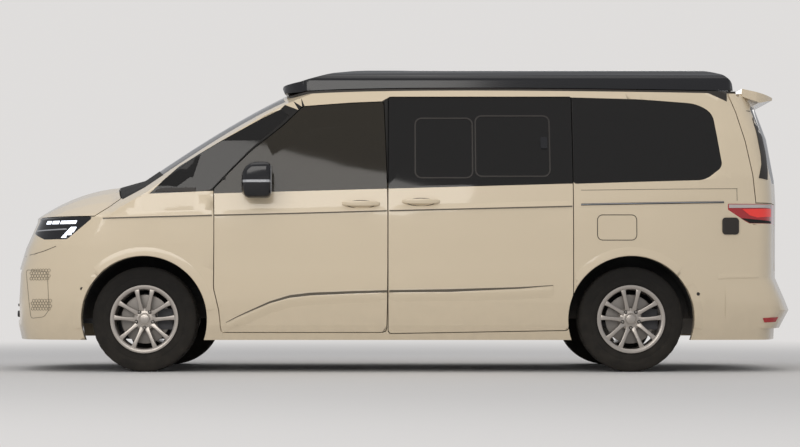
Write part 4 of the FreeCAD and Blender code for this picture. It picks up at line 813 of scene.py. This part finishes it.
# Wheels
def tread(tyre, lowest_radius, near_y, far_y, every, width, depth, single):
    """Presses in the tread's faces between two distances from its middle, one five-degree step in so many."""
    def is_pressed(face):
        radius = math.hypot(face.center.x, face.center.z)
        turn = math.degrees(math.atan2(face.center.x, face.center.z)) % 360
        return radius > lowest_radius and near_y < abs(face.center.y) < far_y and int(turn / 5) % every == 0
    choose(tyre, "faces", is_pressed)
    bpy.ops.mesh.inset(thickness=width, depth=depth, use_individual=single)
    leave()


def tyre_piece(name):
    """Side walls, shoulder blocks and rings of tread."""
    side = [(-0.098, 0.2046), (-0.1056, 0.211), (-0.1066, 0.22), (-0.1035, 0.2232), (-0.1063, 0.229),
            (-0.1066, 0.26), (-0.105, 0.264), (-0.1062, 0.268), (-0.1048, 0.292), (-0.101, 0.314),
            (-0.0955, 0.327), (-0.089, 0.3335), (-0.08, 0.3362), (-0.06, 0.3374), (-0.059, 0.33),
            (-0.051, 0.33), (-0.05, 0.3377), (-0.02, 0.338), (-0.019, 0.33), (-0.011, 0.33),
            (-0.01, 0.338)]
    profile = side + [(-y, r) for y, r in side[::-1]]
    tyre = lathe(name, profile + [profile[0]], 72)
    tread(tyre, 0.33, 0.06, 0.094, 2, 0.0022, -0.006, False)
    tread(tyre, 0.336, 0.02, 0.051, 3, 0.004, -0.004, True)
    return tyre


def spoke_piece(name, lean):
    """One blade of a twin spoke, swept out towards the rim and rounded along its edges."""
    inner, outer = 0.05, 0.1985
    spoke = block(name, (-0.018, -0.09, inner), (0.018, -0.064, outer))
    sliced(spoke, 2, (0.085, 0.12, 0.155, 0.182))
    for height, wide, out in ((inner, 1.0, 0.0), (0.085, 0.72, -0.0065), (0.12, 0.68, -0.012),
                              (0.155, 0.74, -0.0155), (0.182, 0.92, -0.016), (outer, 1.35, -0.012)):
        choose(spoke, "vertices", lambda v: abs(v.co.z - height) < 0.002)
        bpy.ops.transform.resize(value=(wide, 1, 1), center_override=(0, 0, 0))
        bpy.ops.transform.translate(value=(lean * (0.0195 + 0.225 * (height - inner)), out, 0))
        leave()
    return bevelled(spoke, 0.005, 3, 40)


def rim_piece(name):
    barrel = [(-0.1045, 0.193), (-0.11, 0.199), (-0.112, 0.208), (-0.1112, 0.218), (-0.1075, 0.2188),
              (-0.1067, 0.2046), (0.098, 0.2046), (0.098, 0.195), (0.01, 0.186), (-0.05, 0.185),
              (-0.09, 0.19), (-0.1045, 0.193)]
    hub = [(-0.094, 0.0002), (-0.0935, 0.02), (-0.0905, 0.03), (-0.0855, 0.0325), (-0.0855, 0.036),
           (-0.0895, 0.0385), (-0.088, 0.056), (-0.08, 0.07), (-0.064, 0.077), (-0.04, 0.077),
           (-0.04, 0.026)]
    pieces = [lathe(name + "_barrel", barrel, 72), lathe(name + "_hub", hub, 60)]
    for lean in (-1, 1):
        spoke = spoke_piece(name + "_spoke", lean)
        for number in range(5):
            twin = copied(spoke, name + "_spoke_%d" % number)
            turned(twin, math.radians(72 * number), "Y")
            pieces.append(twin)
        bpy.data.objects.remove(spoke)
    return joined(name, pieces)


def bolt_pieces(name):
    """Wheel bolts in their dark pockets, between the pairs of spokes."""
    pockets, bolts = [], []
    for number in range(5):
        turn = math.radians(36 + 72 * number)
        x, z = 0.056 * math.sin(turn), 0.056 * math.cos(turn)
        pockets.append(disc(name + "_pocket", (x, -0.088, z), 0.0125, 0.006, (0, 1, 0), 20, 0.0012))
        bolts.append(disc(name + "_bolt", (x, -0.093, z), 0.0085, 0.01, (0, 1, 0), 6, 0.0012))
    return joined(name + "_pockets", pockets), joined(name + "_bolts", bolts)


def brake_piece(name):
    ring = [(-0.0353, 0.078), (-0.0353, 0.15), (-0.0335, 0.1575), (-0.025, 0.1578), (-0.0245, 0.148),
            (-0.019, 0.148), (-0.0185, 0.1578), (-0.011, 0.1575), (-0.0093, 0.15), (-0.0093, 0.078),
            (-0.0353, 0.078)]
    hat = [(-0.048, 0.03), (-0.048, 0.07), (-0.044, 0.078), (-0.02, 0.08), (-0.02, 0.03),
           (-0.048, 0.03)]
    return joined(name, [lathe(name, ring, 64), lathe(name + "_hat", hat, 48)])


pocket_master, bolt_master = bolt_pieces("wheel")
wheel_parts = ((tyre_piece("tyre_master"), RUBBER, "tyre"), (rim_piece("rim_master"), ALLOY, "rim"),
               (brake_piece("brake_disc_master"), STEEL, None), (pocket_master, MATT_BLACK, None),
               (bolt_master, STEEL, None))
for row_name, hub_at in (("front", FRONT_WHEEL), ("rear", REAR_WHEEL)):
    wheel_place = (hub_at.x, centre_of("tyre_%s_left" % row_name).y, TYRE_RADIUS)
    for master, material, node_start in wheel_parts:
        wheel_piece = copied(master, "%s_%s_left" % (master.name.replace("_master", ""), row_name))
        moved(wheel_piece, wheel_place)
        stands_for = ["%s_%s_left" % (node_start, row_name)] if node_start else []
        on_both_sides(wheel_piece, material, "wheel_%s_left" % row_name, stands_for, 35)
for master, _, _ in wheel_parts:
    bpy.data.objects.remove(master)


# Door handles
RAY_START_Y = -2


def surface_y(node, x, z):
    """How far out a panel of the left side lies at a place in the side view."""
    return SKINS[node].ray_cast(Vector((x, RAY_START_Y, z)), Vector((0, 1, 0)))[1].y


def handle(name, node, x0, x1, z):
    """A pull handle over a shallow bowl; its ends are bent inwards and drawn together."""
    deep = surface_y(node, (x0 + x1) / 2, z)
    grip = block(name, (x0, deep - 0.04, z - 0.017), (x1, deep - 0.02, z + 0.017))
    sliced(grip, 0, [x0 + share * (x1 - x0) for share in (0.12, 0.3, 0.5, 0.7, 0.88)])
    for share, inward, tall in ((0.0, 0.03, 0.55), (0.12, 0.012, 0.85), (0.3, 0.002, 1.0), (0.7, 0.002, 1.0),
                                (0.88, 0.012, 0.85), (1.0, 0.03, 0.55)):
        choose(grip, "vertices", lambda v: abs(v.co.x - x0 - share * (x1 - x0)) < 0.002)
        bpy.ops.transform.translate(value=(0, inward, 0))
        bpy.ops.transform.resize(value=(1, 1, tall), center_override=(0, 0, z))
        leave()
    bevelled(grip, 0.007, 3)
    modifier(grip, "SUBSURF", levels=1, render_levels=1)
    on_both_sides(grip, PAINT, BODY_OF[node], angle=60)
    turns = [step * math.pi / 12 for step in range(24)]
    bowl = [((x0 + x1) / 2 + 0.095 * math.cos(turn), z - 0.004 + 0.027 * math.sin(turn)) for turn in turns]
    strip_piece(name.replace("handle", "handle_bowl"), node, DARK_TRIM, 0.0004, 0.0014, 0.03, bowl,
                frame_width=0.0035)


handle("front_handle_left", "front_door_left", -0.372, -0.128, 1.078)
handle("slide_handle_left", "sliding_door_left", 0.012, 0.256, 1.092)

# Door mirrors: shell with its foot, bright strip and pane
mirror_low, mirror_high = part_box("mirror_left")
MIRROR_INNER_Y = -0.99
shell = block("mirror_shell_left", mirror_low, (mirror_high.x, MIRROR_INNER_Y, mirror_high.z))
sliced(shell, 2, [mirror_low.z + share * (mirror_high.z - mirror_low.z) for share in (0.25, 0.75)])
shifted(shell, (0.055, 0, 0), lambda v: v.co.x < mirror_low.x + 0.01 and v.co.z > mirror_high.z - 0.01)
choose(shell, "vertices", lambda v: v.co.z < mirror_low.z + 0.01)
bpy.ops.transform.resize(value=(0.86, 0.8, 1), center_override=(mirror_high.x, MIRROR_INNER_Y, 0))
leave()
shifted(shell, (0.02, 0.015, 0), lambda v: v.co.x < mirror_low.x + 0.08 and v.co.y < mirror_low.y + 0.02)
bevelled(shell, 0.034, 5, 25)
foot = block("mirror_foot_left", (mirror_low.x + 0.07, -1.01, 1.205),
             (mirror_low.x + 0.15, -0.905, 1.245), 0.01, 3)
shifted(foot, (0, 0, -0.02), lambda v: v.co.y > -0.93)
shell = joined("mirror_shell_left", [shell, foot])
strip = copied(shell, "mirror_strip_left")
for height, side in ((1.222, 1), (1.206, -1)):
    bisected(strip, (0, 0, height), (0, 0, side), clear_outer=True, use_fill=False)
removed(strip, "vertices", lambda v: v.co.y > -1.012)
whole(strip, bpy.ops.transform.shrink_fatten, value=0.0015)
on_both_sides(shell, GLOSS_BLACK, "front_door_left", ("mirror_left",), 40)
on_both_sides(strip, CHROME, "front_door_left", angle=40)
pane = block("mirror_pane_left", (mirror_high.x - 0.001, mirror_low.y + 0.022, mirror_low.z + 0.025),
             (mirror_high.x + 0.002, -1.012, mirror_high.z - 0.022), 0.0012, 1)
on_both_sides(pane, CHROME, "front_door_left")


# Grille: a honeycomb over the intake, with slats
def hexagons(name, columns, rows, pitch, wire, low_y, low_z, x):
    """A sheet of open six-sided cells facing forward."""
    deselect()
    bpy.ops.mesh.primitive_circle_add(vertices=6, radius=pitch / math.sqrt(3), fill_type="NGON",
                                      rotation=(math.pi / 2, 0, math.pi / 2), location=(x, low_y, low_z))
    cell = newest(name)
    applied()
    framed(cell, wire / 2)
    second = copied(cell, name + "_shifted")
    moved(second, (0, pitch / 2, pitch * math.sqrt(3) / 2))
    cell = joined(name, [cell, second])
    for count, step in ((columns, (0, pitch, 0)), (rows, (0, 0, pitch * math.sqrt(3)))):
        modifier(cell, "ARRAY", count=count, use_relative_offset=False, use_constant_offset=True,
                 constant_offset_displace=step)
    whole(cell, bpy.ops.mesh.remove_doubles, threshold=0.0004)
    return cell


honeycomb = hexagons("grille_honeycomb", 30, 6, 0.04, 0.006, -0.6, 0.35, AHEAD_X)
for (y, z), (normal_y, normal_z) in (((0, 0.335), (0, -1)), ((0, 0.66), (0, 1)), ((0.595, 0.66), (0.978, -0.207)),
                                     ((-0.595, 0.66), (-0.978, -0.207))):
    bisected(honeycomb, (0, y, z), (0, normal_y, normal_z), clear_outer=True)
plate(laid(honeycomb, "grille", 0.01, "x"), 0.008)
finished(honeycomb, GLOSS_BLACK, "root")
for number, (z, slat_material) in enumerate(((0.43, MATT_BLACK), (0.52, MATT_BLACK), (0.61, CHROME))):
    half = 0.545 + 0.2 * (z - 0.34)
    slat = block("grille_slat_%d" % number, (AHEAD_X, -half, z - 0.007), (AHEAD_X + 0.001, half, z + 0.007))
    removed(slat, "faces", lambda face: face.normal.x > -0.5)
    cut_up(slat, 0.06, (1,))
    plate(laid(slat, "grille", 0.018, "x"), 0.012)
    finished(slat, slat_material, "root")

# Front bumper: two patches of cells in a recess line, both in darkened cream as painted shade
for number, (z, low_x) in enumerate(((0.6, -2.405), (0.405, -2.395))):
    patch = hexagons("bumper_cells_%d_left" % number, 7, 2, 0.02, 0.004, -0.06, z, 0)
    turned(patch, math.pi / 2, "Z")
    moved(patch, (low_x - min(vertex.co.x for vertex in patch.data.vertices), DRAWING_Y, 0))
    plate(laid(patch, "front_bumper", 0.001), 0.003)
    on_both_sides(patch, PAINTED_CELL_SHADE, "root")
strip_piece("bumper_recess_left", "front_bumper", PAINTED_CELL_SHADE, 0.0003, 0.0016, 0.02,
            [(-2.44, 0.66), (-2.275, 0.648), (-2.262, 0.4), (-2.3, 0.35), (-2.4, 0.34)], 0.02, 0.004)


# Seats
def cushion(name, low, high, axis, sign):
    """A padded block whose sides pull in, with a sewn channel around the crowned panel that faces along an axis."""
    pad = block(name, low, high)
    size = [b - a for a, b in zip(low, high)]
    centre = [(a + b) / 2 for a, b in zip(low, high)]
    for across in range(3):
        sliced(pad, across, [low[across] + size[across] * share for share in (0.1, 0.5, 0.9)])
    others = [other for other in range(3) if other != axis]
    top = centre[axis] + sign * size[axis] / 2
    choose(pad, "faces", lambda face: face.normal[axis] * sign > 0.9
           and all(abs(face.center[other] - centre[other]) < 0.38 * size[other] for other in others))
    bpy.ops.mesh.inset(thickness=0.018, depth=-0.01)
    bpy.ops.mesh.inset(thickness=0.016, depth=0.014)
    leave()
    push = [0, 0, 0]
    push[axis] = sign * 0.006
    shifted(pad, push, lambda v: abs(v.co[axis] - top) < 0.03
            and all(abs(v.co[other] - centre[other]) < 0.06 * size[other] for other in others))
    return modifier(pad, "SUBSURF", levels=2, render_levels=2)


CUSHION_LOW = 0.6853
SEAT_PLACES = (("driver", -0.8293, -0.4173), ("passenger", -0.8293, 0.4173), ("rear_left", 0.4203, -0.0679),
               ("rear_right", 0.4203, 0.5435))
BACK_LOW = (0.392, -0.252, 0.09)
BACK_HIGH = (0.512, 0.252, 0.612)
BACK_LEAN = math.radians(-14)
cushion_master = cushion("cushion_master", (0.004, -0.256, 0.002), (0.49, 0.256, 0.13), 2, 1)
back_master = cushion("back_master", BACK_LOW, BACK_HIGH, 0, -1)
turned(back_master, BACK_LEAN, "Y", ((BACK_LOW[0] + BACK_HIGH[0]) / 2, 0, BACK_LOW[2]))
head_master = cushion("head_master", (0.58, -0.125, 0.625), (0.668, 0.125, 0.805), 0, -1)
# The headrest's crown is still selected and is drawn in a little
bpy.ops.object.mode_set(mode="EDIT")
bpy.ops.transform.resize(value=(1, 0.94, 1), center_override=(0, 0, 0.3))
leave()
stem_master = joined("stem_master", [disc("stem", (0.612, y, 0.61), 0.007, 0.1, (0, 0, 1), 16, 0.001)
                                     for y in (-0.055, 0.055)])
for place_name, seat_x, seat_y in SEAT_PLACES:
    for master, kind, fill in ((cushion_master, "cushion", 0.7), (back_master, "backrest", 0.7),
                               (head_master, "headrest", 0.8)):
        pad = copied(master, "%s_%s" % (place_name, kind))
        moved(pad, (seat_x, seat_y, CUSHION_LOW))
        finished(pad, SEAT_CLOTH, "root", ("seats",), 60)
    stems = copied(stem_master, "%s_headrest_stems" % place_name)
    moved(stems, (seat_x, seat_y, CUSHION_LOW))
    finished(stems, STEEL, "root")
for master in (cushion_master, back_master, head_master, stem_master):
    bpy.data.objects.remove(master)

# Steering wheel: a padded ring with a hub and three spokes
STEERING_CENTRE = (-1.0948, -0.417315, 0.995)
STEERING_TILT = math.radians(25)
deselect()
bpy.ops.mesh.primitive_torus_add(major_radius=0.173, minor_radius=0.0145, major_segments=64, minor_segments=16,
                                 location=(0, 0, 0))
bars = [newest("steering_ring"), disc("steering_hub", (0, 0, -0.004), 0.058, 0.04, (0, 0, 1), 40, 0.01)]
for number, turn in enumerate((0, 180, 90)):
    bar = block("steering_bar_%d" % number, (-0.013, 0.045, -0.01), (0.013, 0.168, 0.006), 0.005, 3)
    turned(bar, math.radians(turn), "Z")
    bars.append(bar)
bars.append(disc("steering_shaft", (0, 0, -0.06), 0.015, 0.09, (0, 0, 1), 24, 0.002))
steering = joined("steering_rim", bars)
steering.rotation_euler = (0, math.pi / 2 - STEERING_TILT, 0)
steering.location = STEERING_CENTRE
finished(steering, PLASTIC, "steering_wheel", ("steering_wheel",), 40)

# Tent wall of the lifting roof, folded in pleats
PLEATS = 10
PLEAT_DEPTH = 0.052
bellows_low, bellows_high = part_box("roof_bellows")
bellows_size = bellows_high - bellows_low
bellows_middle = centre_of("roof_bellows")
pleat_rise = (bellows_size.z - 0.02) / PLEATS
deselect()
bpy.ops.mesh.primitive_plane_add(size=1, location=(bellows_middle.x, 0, bellows_low.z + 0.012))
tent = newest("tent_wall")
tent.scale = (bellows_size.x - 0.004, bellows_size.y - 0.004, 1)
bpy.ops.object.transform_apply(location=False, rotation=False, scale=True)
rounded(tent, 0.05, 6)
cut_up(tent, 0.08, (0, 1))
edit(tent, "FACE")
bpy.ops.mesh.region_to_loop()
bpy.ops.mesh.duplicate()
bpy.ops.mesh.select_mode(type="VERT")
leave()
border = {vertex.index for vertex in tent.data.vertices if vertex.select}
removed(tent, "vertices", lambda v: v.index not in border)
edit(tent)
for number in range(PLEATS):
    bpy.ops.mesh.extrude_region_move(TRANSFORM_OT_translate={"value": (0, 0, pleat_rise)})
    shares = [(half - PLEAT_DEPTH) / half for half in (bellows_size.x / 2, bellows_size.y / 2)]
    if number % 2:
        shares = [1 / share for share in shares]
    bpy.ops.transform.resize(value=(*shares, 1), center_override=(bellows_middle.x, 0, 0))
leave()
whole(tent, bpy.ops.mesh.normals_make_consistent, inside=False)
bpy.ops.object.transform_apply(location=True, rotation=False, scale=False)
smooth(tent, 20)
tent.data.materials.append(TENT_CLOTH)
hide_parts("roof_bellows")

# Stage, lights and camera
BACKDROP = (0.74, 0.725, 0.715)
FADE_NEAR, FADE_FAR = 3.5, 11.0


def paper_finish():
    """Studio paper that takes the van's shadow near it and fades into an even pale backdrop behind."""
    material = finish("studio_paper", None, (0.6, 0.592, 0.585), 0.85, dark=0.99, spread=0.02)
    tree = material.node_tree
    reach = added(tree, "VectorMath", {0: object_place(tree)}, operation="LENGTH")["Value"]
    fade = added(tree, "MapRange", {"Value": reach, "From Min": FADE_NEAR, "From Max": FADE_FAR},
                 interpolation_type="SMOOTHSTEP")["Result"]
    rays = added(tree, "LightPath", {})
    seen = worked_out(tree, "MAXIMUM", rays["Is Camera Ray"], rays["Is Glossy Ray"])
    seen = worked_out(tree, "MAXIMUM", seen, rays["Is Transmission Ray"])
    glow = added(tree, "Emission", {"Color": (*BACKDROP, 1)})["Emission"]
    mix = added(tree, "MixShader", {"Fac": worked_out(tree, "MULTIPLY", fade, seen),
                                    1: tree.nodes["Principled BSDF"].outputs["BSDF"], 2: glow})
    tree.links.new(mix["Shader"], tree.nodes["Material Output"].inputs["Surface"])
    return material


deselect()
bpy.ops.mesh.primitive_plane_add(size=60, location=(0, 0, 0))
floor = newest("studio_floor")
floor.data.materials.append(paper_finish())

world = bpy.data.worlds.new("studio_world")
bpy.context.scene.world = world
world.use_nodes = True
world_tree = world.node_tree
sky = world_tree.nodes["Background"]
sky.inputs["Color"].default_value = (0.86, 0.87, 0.9, 1)
sky.inputs["Strength"].default_value = 0.62
paper_sky = added(world_tree, "Background", {"Color": (*BACKDROP, 1)})["Background"]
world_mix = added(world_tree, "MixShader", {"Fac": added(world_tree, "LightPath", {})["Is Camera Ray"],
                                            1: sky.outputs["Background"], 2: paper_sky})
world_tree.links.new(world_mix["Shader"], world_tree.nodes["World Output"].inputs["Surface"])


def softbox(name, place, target, size, power):
    light = bpy.data.lights.new(name, "AREA")
    light.shape = "RECTANGLE"
    light.size, light.size_y = size
    light.energy = power
    light.color = (1, 0.97, 0.93)
    obj = bpy.data.objects.new(name, light)
    bpy.context.scene.collection.objects.link(obj)
    obj.location = place
    obj.rotation_euler = (Vector(target) - Vector(place)).to_track_quat("-Z", "Y").to_euler()


softbox("overhead_softbox", (0, -1.0, 6.5), (0, 0, 0), (9, 5), 150)
softbox("camera_side_softbox", (-3.0, -9.0, 4.2), (0, 0, 1.0), (8, 3), 250)
softbox("rear_side_softbox", (3.0, 8.0, 4.5), (0, 0, 1.0), (6, 3), 80)

CAMERA_DISTANCE = 14.0
CAMERA_HEIGHT = 0.45
CAMERA_PITCH = 2.2
PHOTO_WIDTH = 800
FOCAL_PIXELS = 2037
camera_data = bpy.data.cameras.new("photo_camera")
camera_data.lens = FOCAL_PIXELS / PHOTO_WIDTH * camera_data.sensor_width
camera = bpy.data.objects.new("photo_camera", camera_data)
bpy.context.scene.collection.objects.link(camera)
camera.location = (0, -CAMERA_DISTANCE, CAMERA_HEIGHT)
camera.rotation_euler = (math.radians(90 + CAMERA_PITCH), 0, 0)
bpy.context.scene.camera = camera
bpy.context.scene.view_settings.view_transform = "Standard"

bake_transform(tent)
